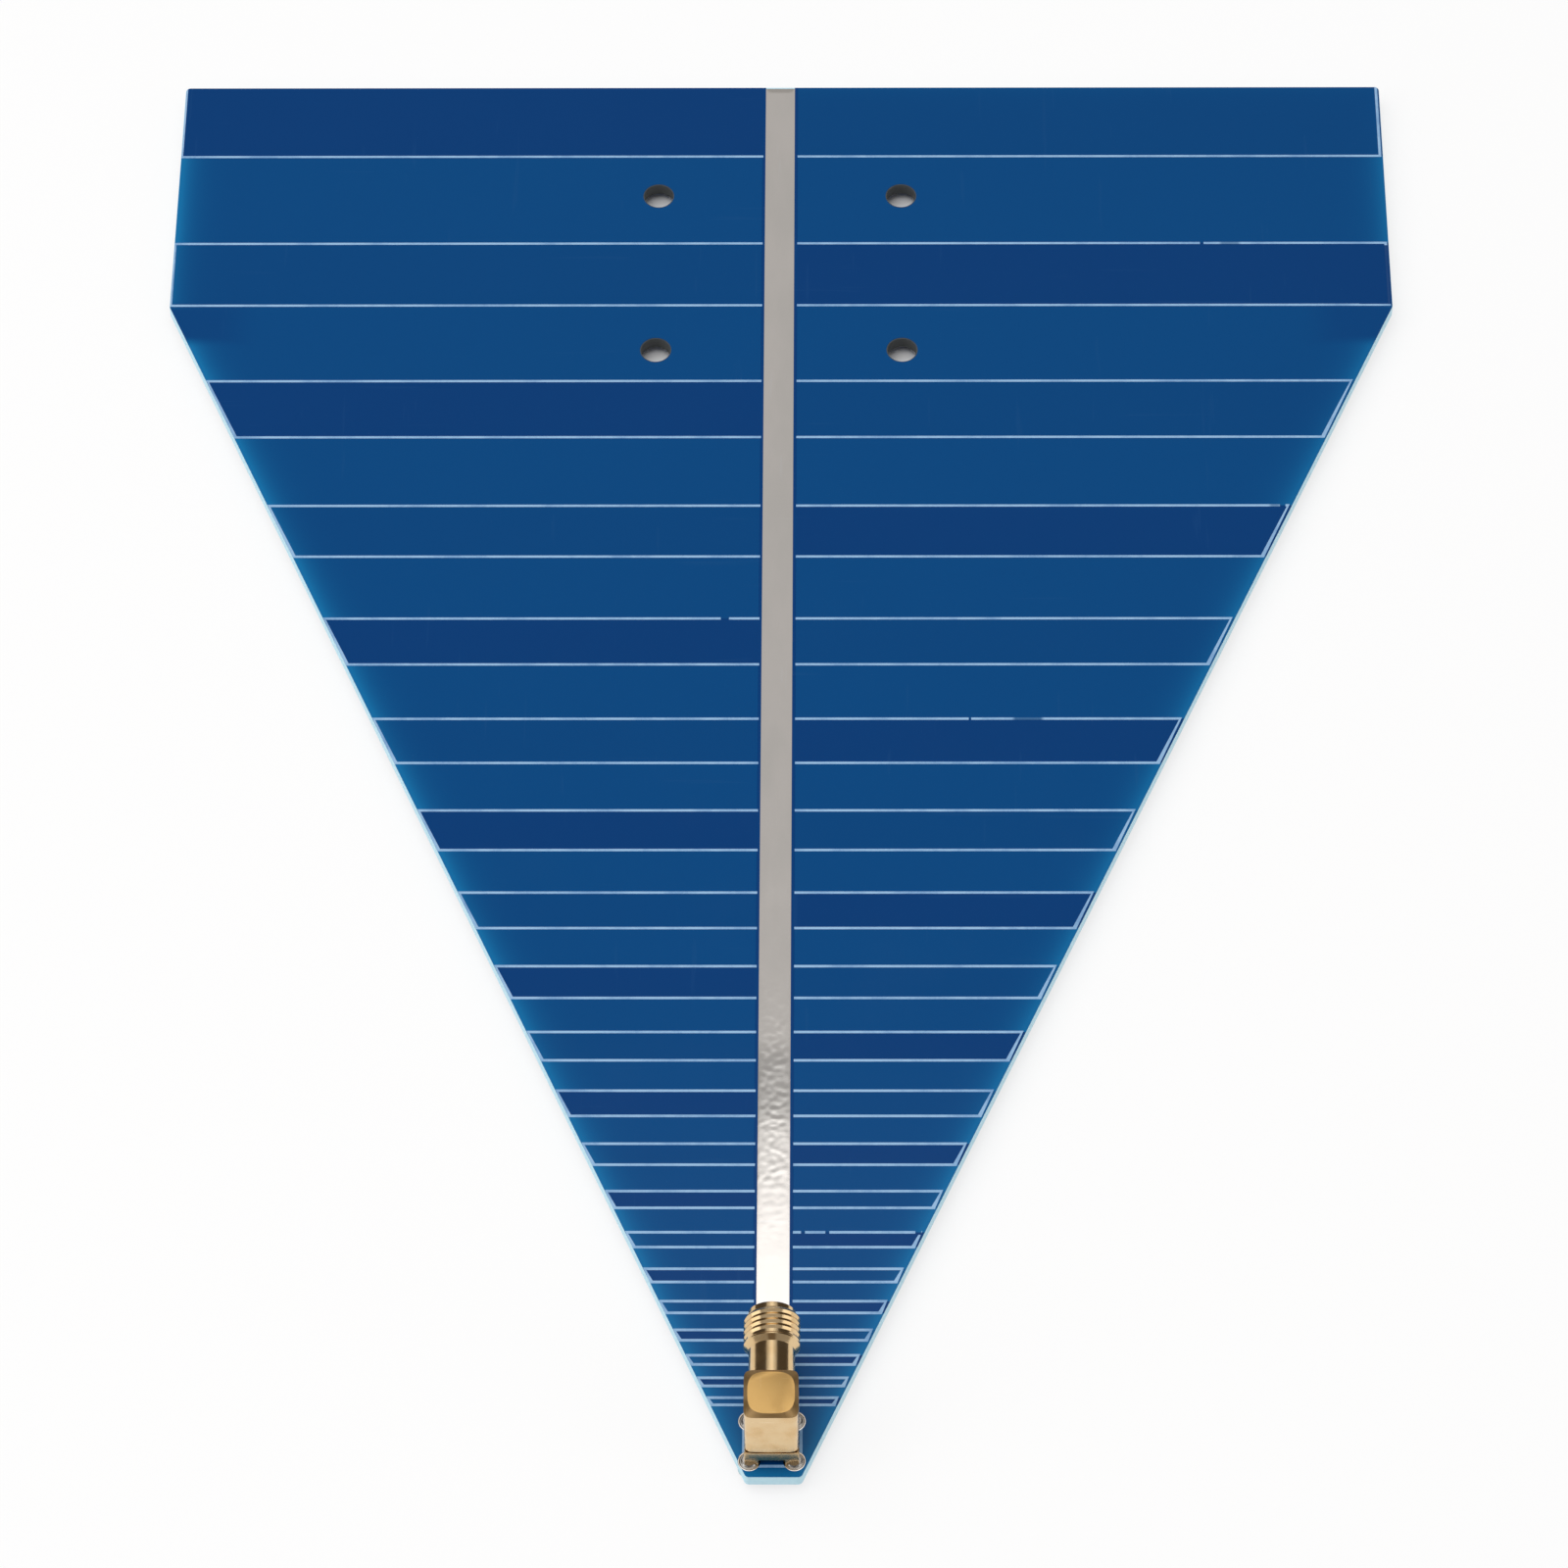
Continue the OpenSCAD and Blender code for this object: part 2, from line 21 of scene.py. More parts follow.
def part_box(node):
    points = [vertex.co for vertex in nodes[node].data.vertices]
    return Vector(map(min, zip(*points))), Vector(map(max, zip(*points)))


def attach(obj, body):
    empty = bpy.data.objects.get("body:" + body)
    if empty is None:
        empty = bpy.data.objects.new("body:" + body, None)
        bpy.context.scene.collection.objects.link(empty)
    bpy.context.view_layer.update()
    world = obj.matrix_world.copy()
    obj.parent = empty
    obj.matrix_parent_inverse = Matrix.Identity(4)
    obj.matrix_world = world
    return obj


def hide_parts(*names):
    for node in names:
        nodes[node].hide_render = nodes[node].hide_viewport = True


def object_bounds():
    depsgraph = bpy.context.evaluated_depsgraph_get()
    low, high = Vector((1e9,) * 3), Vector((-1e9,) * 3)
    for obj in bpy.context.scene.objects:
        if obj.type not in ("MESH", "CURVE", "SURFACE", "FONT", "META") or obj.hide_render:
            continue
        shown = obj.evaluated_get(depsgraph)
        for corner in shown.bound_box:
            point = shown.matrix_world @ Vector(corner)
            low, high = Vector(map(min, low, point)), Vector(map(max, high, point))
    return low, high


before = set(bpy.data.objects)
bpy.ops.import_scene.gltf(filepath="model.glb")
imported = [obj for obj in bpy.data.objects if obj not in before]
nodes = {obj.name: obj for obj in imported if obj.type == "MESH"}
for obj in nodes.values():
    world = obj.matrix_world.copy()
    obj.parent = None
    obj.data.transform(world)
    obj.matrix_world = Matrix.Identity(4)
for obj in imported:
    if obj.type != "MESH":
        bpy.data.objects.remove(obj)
cad_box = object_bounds()
print("nodes loaded:", ", ".join(sorted(nodes)))

# %% [markdown]
# The board's outline can be read from the frame, so the finishes follow it if the model changes.
# A board's layers never line up perfectly: the routed outline sits a fifth of a millimetre to one
# side of the etched pattern, and the pattern's own middle is X = 0.

# %% Sizes read from the frame
MM = 0.001

board_low, board_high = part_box("laminate")
tip_y = board_low.y
wide_y = board_high.y
outline_x = (board_low.x + board_high.x) / 2
half_board = (board_high.x - board_low.x) / 2
lowest_z = cad_box[0][2]
print(f"board {2e3 * half_board:.1f} mm wide, {1e3 * (wide_y - tip_y):.1f} mm long")

# %% [markdown]
# A log-periodic array is drawn by one rule: each arm's distance from the apex is the distance of
# the arm before it times a fixed ratio, and its width is a fixed share of that distance.  The same
# few numbers that place the copper also tell the solder mask's finish where copper lies under it.

# %% The numbers of the antenna pattern
apex_y = tip_y - 8.75 * MM
first_reach = (wide_y - 6.6 * MM) - apex_y
arm_ratio = 0.8805
arm_count = 20
first_share = 0.0567
broad_arms = 12
broad_share = 0.0557
broadest_arms = (5, 10)
broadest_share = 0.0596
slim_share = 0.0499
boom_half = 2.25 * MM
band_half = 1.87 * MM
shoulder_y = wide_y - 36.7 * MM
tip_half = 3.125 * MM
taper = math.atan((half_board - tip_half) / (shoulder_y - tip_y))
first_arm_low = wide_y - first_reach * first_share
print(f"edges taper at {math.degrees(taper):.1f} degrees to the middle line")

# %% [markdown]
# ## Helpers
#
# Shader maths is easier to read as a chain of short calls than as a list of nodes and links.  Each
# helper adds one node, connects what it is given, and returns the output socket.  A plain number
# is typed into the socket, and a socket is linked to it.

# %% Helpers for shader maths
def wire(tree, value, socket):
    if isinstance(value, bpy.types.NodeSocket):
        tree.links.new(value, socket)
    elif value is not None:
        socket.default_value = value


def maths(tree, operation, a, b=None, c=None, clamp=False):
    node = tree.nodes.new("ShaderNodeMath")
    node.operation = operation
    node.use_clamp = clamp
    for value, socket in zip((a, b, c), node.inputs):
        wire(tree, value, socket)
    return node.outputs[0]


def minus(tree, a, b):
    return maths(tree, "SUBTRACT", a, b)


def times(tree, a, b, clamp=False):
    return maths(tree, "MULTIPLY", a, b, clamp=clamp)


def scaled(tree, value, factor, plus):
    """value times factor, plus a third value, in one node."""
    return maths(tree, "MULTIPLY_ADD", value, factor, plus)


def apart(tree, a, b):
    """How far two values are from each other, never below 0."""
    return maths(tree, "ABSOLUTE", minus(tree, a, b))


def ramp_between(tree, value, low, high):
    """0 below low, 1 above high, and smooth between them; low may be the larger one."""
    node = tree.nodes.new("ShaderNodeMapRange")
    node.interpolation_type = "SMOOTHSTEP"
    wire(tree, value, node.inputs["Value"])
    wire(tree, low, node.inputs["From Min"])
    wire(tree, high, node.inputs["From Max"])
    return node.outputs["Result"]


def blend(tree, share, first, second, kind="MIX"):
    """A colour that goes from first to second as share goes from 0 to 1."""
    node = tree.nodes.new("ShaderNodeMix")
    node.data_type = "RGBA"
    node.blend_type = kind
    wire(tree, share, node.inputs[0])
    wire(tree, first, node.inputs[6])
    wire(tree, second, node.inputs[7])
    return node.outputs[2]


def noise_at(tree, place, scale, detail=3.0, rough=0.5):
    node = tree.nodes.new("ShaderNodeTexNoise")
    wire(tree, place, node.inputs["Vector"])
    wire(tree, scale, node.inputs["Scale"])
    node.inputs["Detail"].default_value = detail
    node.inputs["Roughness"].default_value = rough
    return node.outputs["Fac"]


def scaled_place(tree, place, factors):
    node = tree.nodes.new("ShaderNodeVectorMath")
    node.operation = "MULTIPLY"
    wire(tree, place, node.inputs[0])
    node.inputs[1].default_value = factors
    return node.outputs[0]


def stretched_noise(tree, place, stretch, detail=3.0, rough=0.5):
    """Noise whose scale differs along X, Y and Z, which draws grain, layers or scratches."""
    return noise_at(tree, scaled_place(tree, place, stretch), 1.0, detail, rough)


def split_place(tree, place):
    node = tree.nodes.new("ShaderNodeSeparateXYZ")
    wire(tree, place, node.inputs[0])
    return node.outputs


def bump(tree, height, distance):
    node = tree.nodes.new("ShaderNodeBump")
    wire(tree, height, node.inputs["Height"])
    node.inputs["Distance"].default_value = distance
    return node.outputs[0]


# %% [markdown]
# A shader group is an effect that several materials use.  It is built once, with named inputs and
# outputs, and each material places it with its own values.

# %% Helpers for groups and materials
def new_group(name, inputs, outputs):
    """An empty shader group; returns its tree, what it is given and what it puts out."""
    tree = bpy.data.node_groups.new(name, "ShaderNodeTree")
    for label, kind, value in inputs:
        socket = tree.interface.new_socket(label, in_out="INPUT", socket_type=kind)
        if value is not None:
            socket.default_value = value
    for label, kind in outputs:
        tree.interface.new_socket(label, in_out="OUTPUT", socket_type=kind)
    source = tree.nodes.new("NodeGroupInput")
    sink = tree.nodes.new("NodeGroupOutput")
    print("group", name, "gives", ", ".join(label for label, kind in outputs))
    return tree, source.outputs, sink.inputs


def place_group(tree, group, **values):
    node = tree.nodes.new("ShaderNodeGroup")
    node.node_tree = group
    for label, value in values.items():
        wire(tree, value, node.inputs[label.replace("_", " ")])
    return node.outputs


def new_material(name):
    """A material with one Principled shader.

    Returns the material, its tree, the shader and the place on the object.
    """
    material = bpy.data.materials.new(name)
    material.use_nodes = True
    tree = material.node_tree
    shader = tree.nodes["Principled BSDF"]
    place = tree.nodes.new("ShaderNodeTexCoord").outputs["Object"]
    return material, tree, shader, place


def clothe(node_name, material):
    """Gives a carried-over CAD node its material."""
    mesh = nodes[node_name].data
    mesh.materials.clear()
    mesh.materials.append(material)
    print(node_name, "wears", material.name)


FLOAT = "NodeSocketFloat"
VECTOR = "NodeSocketVector"

# %% [markdown]
# ## Shader groups
#
# **Where copper lies.**  Solder mask is a thin blue varnish.  Over copper it looks navy, over bare
# laminate it is a lighter teal-blue, and copper on the far side shows through as something
# between.  The group takes a point, finds the number of the nearest arm from the logarithm of its
# distance to the apex, and compares the distance to that arm's middle with half its width.
# Nothing is listed arm by arm, and the pattern stays sharp at any zoom.

# %% Group: the copper pattern
def build_copper_pattern():
    tree, given, out = new_group(
        "copper_pattern",
        [("Place", VECTOR, None)],
        [("Front Foil", FLOAT), ("Back Foil", FLOAT), ("Boom", FLOAT)],
    )
    x, y, _ = split_place(tree, given["Place"])
    reach = minus(tree, y, apex_y)
    least_reach = 1 * MM
    safe = maths(tree, "MAXIMUM", reach, least_reach)
    count = maths(tree, "LOGARITHM", maths(tree, "DIVIDE", safe, first_reach), arm_ratio)
    number = maths(tree, "ROUND", count)
    middle = times(tree, maths(tree, "POWER", arm_ratio, number), first_reach)

    slim = maths(tree, "GREATER_THAN", number, broad_arms - 0.5)
    from_middle = apart(tree, number, sum(broadest_arms) / 2)
    wider = maths(tree, "LESS_THAN", from_middle, (broadest_arms[1] - broadest_arms[0]) / 2 + 0.5)
    share = scaled(tree, wider, broadest_share - broad_share, broad_share)
    share = scaled(tree, slim, slim_share - broad_share, share)
    half_width = times(tree, times(tree, middle, share), 0.5)
    off = minus(tree, apart(tree, reach, middle), half_width)
    blur = 0.02 * MM
    in_arm = ramp_between(tree, off, blur, -blur)
    known = times(tree, maths(tree, "GREATER_THAN", number, 0.5),
                  maths(tree, "LESS_THAN", number, arm_count - 0.5))
    first = maths(tree, "GREATER_THAN", y, first_arm_low)
    in_row = maths(tree, "MAXIMUM", times(tree, in_arm, known), first)

    # Even rows have the front copper's arm on the left, odd rows on the right
    odd = maths(tree, "MODULO", maths(tree, "MAXIMUM", number, 0.0), 2.0)
    odd = times(tree, odd, minus(tree, 1.0, first))
    left = maths(tree, "LESS_THAN", x, 0.0)
    same = maths(tree, "COMPARE", left, odd, 0.5)
    front_row = minus(tree, 1.0, same)
    wire(tree, times(tree, in_row, front_row), out["Front Foil"])
    wire(tree, times(tree, in_row, same), out["Back Foil"])
    boom_blur = 0.03 * MM
    end_blur = 1 * MM
    boom = ramp_between(tree, maths(tree, "ABSOLUTE", x), boom_half + boom_blur, boom_half)
    boom_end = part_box("copper_front")[0].y
    end = ramp_between(tree, y, boom_end, boom_end + end_blur)
    wire(tree, times(tree, boom, end), out["Boom"])
    return tree


copper_pattern = build_copper_pattern()

# %% [markdown]
# **Distance to the board's edge.**  Light gets into the laminate at its routed edge and spreads a
# few millimetres before the mask and the resin swallow it, so the blue turns bright teal along
# every edge with no copper.  The distance is the smallest of the distances to the wide end, the
# parallel sides, the tapered sides and the tip.

# %% Group: distance to the edge
def build_edge_distance():
    tree, given, out = new_group("edge_distance", [("Place", VECTOR, None)], [("Distance", FLOAT)])
    x, y, _ = split_place(tree, given["Place"])
    across = apart(tree, x, outline_x)
    to_side = minus(tree, half_board, across)
    along = minus(tree, y, tip_y)
    slant = scaled(tree, along, math.tan(taper), tip_half)
    to_slant = times(tree, minus(tree, slant, across), math.cos(taper))
    to_wide = minus(tree, wide_y, y)
    nearest = maths(tree, "MINIMUM", to_side, to_slant)
    nearest = maths(tree, "MINIMUM", nearest, to_wide)
    nearest = maths(tree, "MINIMUM", nearest, along)
    wire(tree, maths(tree, "MAXIMUM", nearest, 0.0), out["Distance"])
    return tree


edge_distance = build_edge_distance()

# %% [markdown]
# **Glass weave.**  The laminate is woven glass in resin.  Its weave prints through every layer as
# a very faint basket pattern with a pitch of about half a millimetre.

# %% Group: glass weave
def build_glass_weave():
    tree, given, out = new_group(
        "glass_weave", [("Place", VECTOR, None), ("Pitch", FLOAT, 0.5 * MM)], [("Height", FLOAT)]
    )
    x, y, _ = split_place(tree, given["Place"])
    waves = []
    for along in (x, y):
        threads = maths(tree, "DIVIDE", along, given["Pitch"])
        waves.append(maths(tree, "SINE", times(tree, threads, math.tau)))
    basket = scaled(tree, times(tree, *waves), 0.5, 0.5)
    blotch = noise_at(tree, given["Place"], scale=900.0, detail=2.0)
    wire(tree, times(tree, basket, blotch), out["Height"])
    return tree


glass_weave = build_glass_weave()

# %% [markdown]
# **Handling marks.**  Dust specks, faint rubs and fine scratches are on every part that has been
# handled.  Two stretched noises give scratches in two directions, and a fine noise gives specks.

# %% Group: handling marks
def build_handling_marks():
    tree, given, out = new_group(
        "handling_marks",
        [("Place", VECTOR, None), ("Size", FLOAT, 1.0)],
        [("Rub", FLOAT), ("Scratch", FLOAT), ("Speck", FLOAT)],
    )
    place = tree.nodes.new("ShaderNodeVectorMath")
    place.operation = "SCALE"
    wire(tree, given["Place"], place.inputs[0])
    wire(tree, given["Size"], place.inputs["Scale"])
    rub = noise_at(tree, place.outputs[0], scale=70.0, detail=5.0, rough=0.6)
    wire(tree, ramp_between(tree, rub, low=0.5, high=0.72), out["Rub"])
    along_y = stretched_noise(tree, place.outputs[0], (900.0, 55.0, 300.0), detail=2.0)
    along_x = stretched_noise(tree, place.outputs[0], (40.0, 1100.0, 300.0), detail=2.0)
    along_y = ramp_between(tree, along_y, low=0.69, high=0.74)
    along_x = ramp_between(tree, along_x, low=0.7, high=0.75)
    wire(tree, maths(tree, "MAXIMUM", along_y, along_x), out["Scratch"])
    speck = noise_at(tree, place.outputs[0], scale=2600.0, detail=1.0)
    wire(tree, ramp_between(tree, speck, low=0.77, high=0.82), out["Speck"])
    return tree


handling_marks = build_handling_marks()

# %% [markdown]
# ## Materials
#
# **Solder mask.**  One function makes the mask of either face.  The front face reads the pattern
# as it is; seen from the back, the back copper is the near one, so the two outputs change places.
# The relief is real too: the mask climbs over the foil's edge, which a bump from the pattern
# shows.

# %% Solder mask
GAP_BLUE = (0.0003, 0.058, 0.202, 1.0)
NEAR_NAVY = (0.0004, 0.0405, 0.168, 1.0)
FAR_BLUE = (0.0003, 0.053, 0.19, 1.0)
EDGE_TEAL = (0.006, 0.17, 0.40, 1.0)
RUBBED_BLUE = (0.02, 0.09, 0.24, 1.0)
THIN_VARNISH = (1.16, 1.14, 1.1, 1.0)

glow_depth = 1.3 * MM          # the edge light falls to a third over this way
full_glow_depth = 0.45 * MM    # and is at its full strength down to here
foil_step = 0.02 * MM
far_foil_hides = 0.5           # shares of the edge light
first_arm_hides = 0.85
glow_strength = 0.8
cloudiness = 0.35


def shoulder_shade(tree, x, y):
    """1 where the board turns from its parallel to its tapered sides, 0 elsewhere."""
    shade_y = shoulder_y - 2.6 * MM
    reach_x = 11 * MM
    reach_y = 3.6 * MM
    from_side = minus(tree, half_board, maths(tree, "ABSOLUTE", x))
    from_shoulder = apart(tree, y, shade_y)
    far = maths(tree, "MAXIMUM", maths(tree, "DIVIDE", from_side, reach_x),
                maths(tree, "DIVIDE", from_shoulder, reach_y))
    return ramp_between(tree, far, low=1.1, high=0.55)


def solder_mask(name, front):
    material, tree, shader, place = new_material(name)
    copper = place_group(tree, copper_pattern, Place=place)
    near = copper["Front Foil" if front else "Back Foil"]
    far = copper["Back Foil" if front else "Front Foil"]
    near = maths(tree, "MAXIMUM", near, copper["Boom"])
    depth = place_group(tree, edge_distance, Place=place)["Distance"]
    weave = place_group(tree, glass_weave, Place=place)["Height"]
    marks = place_group(tree, handling_marks, Place=place, Size=1.0)

    # The edge light falls off like an exponential.  Copper hides it, most of all on the near face
    depths = maths(tree, "DIVIDE", minus(tree, full_glow_depth, depth), glow_depth)
    fall = maths(tree, "MINIMUM", maths(tree, "EXPONENT", depths), 1.0)
    free = scaled(tree, far, -far_foil_hides, 1.0)
    free = times(tree, minus(tree, 1.0, near), free)
    glow = times(tree, fall, free, clamp=True)

    # Less light gets in on the right, next to none along the first arm and at the two shoulders
    x, y, _ = split_place(tree, place)
    glow = times(tree, glow, scaled(tree, x, -0.2 / half_board, 0.82))
    first = maths(tree, "GREATER_THAN", y, first_arm_low)
    glow = times(tree, glow, scaled(tree, first, -first_arm_hides, 1.0))
    shoulder = shoulder_shade(tree, x, y)
    glow = times(tree, glow, minus(tree, 1.0, shoulder))

    cloud = noise_at(tree, place, scale=28.0, detail=3.0)
    base = blend(tree, times(tree, far, 0.9), GAP_BLUE, FAR_BLUE)
    base = blend(tree, near, base, NEAR_NAVY)
    base = blend(tree, times(tree, shoulder, 0.5), base, NEAR_NAVY)
    lighter = blend(tree, 1.0, base, THIN_VARNISH, kind="MULTIPLY")
    uneven = times(tree, maths(tree, "ADD", cloud, weave), cloudiness)
    base = blend(tree, uneven, base, lighter)
    base = blend(tree, times(tree, glow, glow_strength), base, EDGE_TEAL)
    base = blend(tree, times(tree, marks["Scratch"], 0.10), base, RUBBED_BLUE)
    base = blend(tree, times(tree, marks["Speck"], 0.18), base, RUBBED_BLUE)
    wire(tree, base, shader.inputs["Base Color"])

    rough = scaled(tree, marks["Rub"], 0.06, 0.13)
    wire(tree, rough, shader.inputs["Roughness"])
    shader.inputs["Specular IOR Level"].default_value = 0.12

    relief = scaled(tree, weave, 0.05, near)
    flow = noise_at(tree, place, scale=500.0, detail=2.0)
    relief = scaled(tree, flow, 0.12, relief)
    wire(tree, bump(tree, relief, foil_step), shader.inputs["Normal"])
    return material


mask_front_paint = solder_mask("solder_mask_front", front=True)
mask_back_paint = solder_mask("solder_mask_back", front=False)
clothe("mask_front", mask_front_paint)
clothe("mask_back", mask_back_paint)

# %% [markdown]
# ** Laminate.** Only its routed edges and the walls of its holes show. A router leaves them pale
# and a little fibrous, in streaks along the layers of glass.  The drilled walls are painted
# darker: painted shade for the light that hardly reaches into the holes, together with the swarf
# and resin that smear over the glass.

# %% Laminate
ROUTED_PALE = (0.40, 0.70, 0.84, 1.0)
ROUTED_WHITE = (0.66, 0.88, 0.96, 1.0)
DRILLED_DARK = (0.035, 0.04, 0.045, 1.0)
DRILLED_GREY = (0.10, 0.11, 0.11, 1.0)


def laminate_paint():
    material, tree, shader, place = new_material("laminate")
    layers = stretched_noise(tree, place, (90.0, 90.0, 5200.0), detail=3.0)
    fibres = stretched_noise(tree, place, (2600.0, 2600.0, 900.0), detail=2.0)
    streak = scaled(tree, layers, 0.6, times(tree, fibres, 0.4))
    edge = blend(tree, streak, ROUTED_PALE, ROUTED_WHITE)

    # Painted shade: faces far from the outline, which are the walls of the holes, take the dark
    # drilled colours
    depth = place_group(tree, edge_distance, Place=place)["Distance"]
    inside = ramp_between(tree, depth, 0.5 * MM, 2 * MM)
    wall = blend(tree, streak, DRILLED_DARK, DRILLED_GREY)
    wire(tree, blend(tree, inside, edge, wall), shader.inputs["Base Color"])
    wire(tree, scaled(tree, fibres, 0.25, 0.5), shader.inputs["Roughness"])
    wire(tree, bump(tree, streak, distance=0.03 * MM), shader.inputs["Normal"])
    return material


clothe("laminate", laminate_paint())

# %% [markdown]
# **Copper.**  The foils are covered by mask or solder, and only slivers of them show at the rims
# of windows and holes, so their finish is a plain etched copper with a fine grain and dull
# patches.

# %% Copper
BRIGHT_COPPER = (0.78, 0.38, 0.2, 1.0)
DULL_COPPER = (0.42, 0.19, 0.11, 1.0)


def copper_paint():
    material, tree, shader, place = new_material("copper")
    marks = place_group(tree, handling_marks, Place=place, Size=2.0)
    grain = noise_at(tree, place, scale=4000.0, detail=2.0)
    base = blend(tree, marks["Rub"], BRIGHT_COPPER, DULL_COPPER)
    wire(tree, base, shader.inputs["Base Color"])
    wire(tree, scaled(tree, grain, 0.2, 0.3), shader.inputs["Roughness"])
    shader.inputs["Metallic"].default_value = 1.0
    wire(tree, bump(tree, grain, distance=0.005 * MM), shader.inputs["Normal"])
    return material


copper = copper_paint()
for name in ("copper_front", "copper_back", "hole_plating"):
    clothe(name, copper)

# %% [markdown]
# **Printed legend.**  The white ink is thin, so the blue under it shows through a little, more
# where the screen left less ink.  It is matt, with a fine grain at close range.

# %% Legend ink
def arm_share(arm):
    if arm == 0:
        return first_share
    if arm >= broad_arms:
        return slim_share
    return broadest_share if broadest_arms[0] <= arm <= broadest_arms[1] else broad_share


def wide_edge_y(arm):
    """Where an arm's edge towards the wide end runs."""
    return apex_y + first_reach * arm_ratio ** arm * (1 + arm_share(arm) / 2)


INK = (0.30, 0.49, 0.72, 1.0)
THIN_INK = (0.18, 0.34, 0.58, 1.0)
WORN_INK = (0.008, 0.085, 0.235, 1.0)

# Rubbed stretches of print, right of the boom: the arm, where the stretch starts and ends as
# shares of the board's half-width, and how faint it is
faint_stretches = [(1, 0.725, 0.757, 0.62), (5, 0.37, 0.415, 0.85), (3, 0.786, 0.802, 0.6)]


def legend_paint():
    fade = 0.3 * MM
    line_reach = 0.5 * MM
    material, tree, shader, place = new_material("legend_ink")
    x, y, _ = split_place(tree, place)
    thin = noise_at(tree, place, scale=240.0, detail=4.0, rough=0.6)
    dots = noise_at(tree, place, scale=5200.0, detail=2.0)
    thin = ramp_between(tree, scaled(tree, dots, 0.25, thin), 0.5, 0.85)
    base = blend(tree, thin, INK, THIN_INK)
    for arm, start, end, faintness in faint_stretches:
        middle = (start + end) / 2 * half_board
        reach = (end - start) / 2 * half_board
        along = apart(tree, x, middle)
        across = apart(tree, y, wide_edge_y(arm))
        here = ramp_between(tree, along, reach + fade, reach - fade)
        here = times(tree, here, maths(tree, "LESS_THAN", across, line_reach))
        base = blend(tree, times(tree, here, faintness), base, WORN_INK)

    # The line that closes the second arm on the right is rubbed away down to the mask
    outside = maths(tree, "GREATER_THAN", x, half_board - 4 * MM)
    along = apart(tree, y, (wide_edge_y(1) + shoulder_y) / 2)
    here = maths(tree, "LESS_THAN", along, (wide_edge_y(1) - shoulder_y) / 2 - 0.4 * MM)
    rubbed = times(tree, times(tree, outside, here), 0.97)
    base = blend(tree, rubbed, base, NEAR_NAVY)
    wire(tree, base, shader.inputs["Base Color"])
    wire(tree, scaled(tree, thin, 0.2, 0.5), shader.inputs["Roughness"])
    shader.inputs["Specular IOR Level"].default_value = 0.2
    wire(tree, bump(tree, dots, distance=0.01 * MM), shader.inputs["Normal"])
    return material


clothe("legend_front", legend_paint())

# %% [markdown]
# **Solder coat.**  Hot-air levelled solder is a bright, slightly warm grey.  Most of it is smooth,
# with faint drag marks along the way that the air knife blew, and fine grain where it froze
# slowly.

# %% Solder coat and solder
BRIGHT_TIN = (0.90, 0.86, 0.82, 1.0)
SOFT_TIN = (0.85, 0.82, 0.78, 1.0)
# Painted reflection: the grey of the wrinkled stretch stands in for the dim room it mirrors
WRINKLED_REFLECTION_GREY = (0.5, 0.49, 0.47, 1.0)
SCRATCHED_TIN = (0.9, 0.9, 0.9, 1.0)
# Painted reflection: the joint solder is painted dark, for the jack's dark underside that its
# fillets mirror
JOINT_GREY = (0.55, 0.53, 0.50, 1.0)
JOINT_DARK = (0.26, 0.24, 0.22, 1.0)

grey_stretch_y = -122 * MM


def solder_paint(name, tint, dull, roughness, grain_depth, crease_and_reflection=0.0):
    material, tree, shader, place = new_material(name)
    marks = place_group(tree, handling_marks, Place=place, Size=1.6)
    drag = stretched_noise(tree, place, (1500.0, 60.0, 900.0), detail=3.0)
    grain = noise_at(tree, place, scale=2400.0, detail=3.0, rough=0.6)
    patch = stretched_noise(tree, place, (260.0, 90.0, 200.0), detail=3.0)
    base = blend(tree, ramp_between(tree, patch, 0.35, 0.7), tint, dull)
    base = blend(tree, times(tree, marks["Scratch"], 0.25), base, SCRATCHED_TIN)
    if crease_and_reflection:
        # Where the coat froze in wrinkles it is painted greyer: a painted reflection of the dim
        # room that this stretch mirrors
        from_crease = apart(tree, split_place(tree, place)[1], grey_stretch_y)
        near = ramp_between(tree, from_crease, 7 * MM, 2.5 * MM)
        base = blend(tree, times(tree, near, crease_and_reflection), base, WRINKLED_REFLECTION_GREY)
    wire(tree, base, shader.inputs["Base Color"])
    rough = scaled(tree, marks["Rub"], 0.04, roughness)
    wire(tree, scaled(tree, grain, 0.03, rough), shader.inputs["Roughness"])
    shader.inputs["Metallic"].default_value = 1.0
    height = scaled(tree, drag, 0.6, times(tree, grain, 0.4))
    wire(tree, bump(tree, height, grain_depth), shader.inputs["Normal"])
    return material


solder_coat = solder_paint(
    "solder_coat", BRIGHT_TIN, SOFT_TIN, roughness=0.07, grain_depth=0.0015 * MM, crease_and_reflection=0.7)
joint_solder = solder_paint(
    "joint_solder", JOINT_GREY, JOINT_DARK, roughness=0.22, grain_depth=0.01 * MM)
for name in ("tin_front", "tin_back"):
    clothe(name, solder_coat)
for name in ("solder_legs", "solder_pin"):
    clothe(name, joint_solder)

# %% [markdown]
# **Gold plate.**  The plating is thin and follows the tool marks of the brass under it.  Turned
# surfaces carry fine rings about the barrel, and milled faces carry straight cutter lines.  Both
# are a bump along one direction, so one function makes both, given the direction as a scale per
# axis.

# %% Gold plate
PALE_GOLD = (0.75, 0.55, 0.31, 1.0)
WARM_GOLD = (0.70, 0.48, 0.24, 1.0)
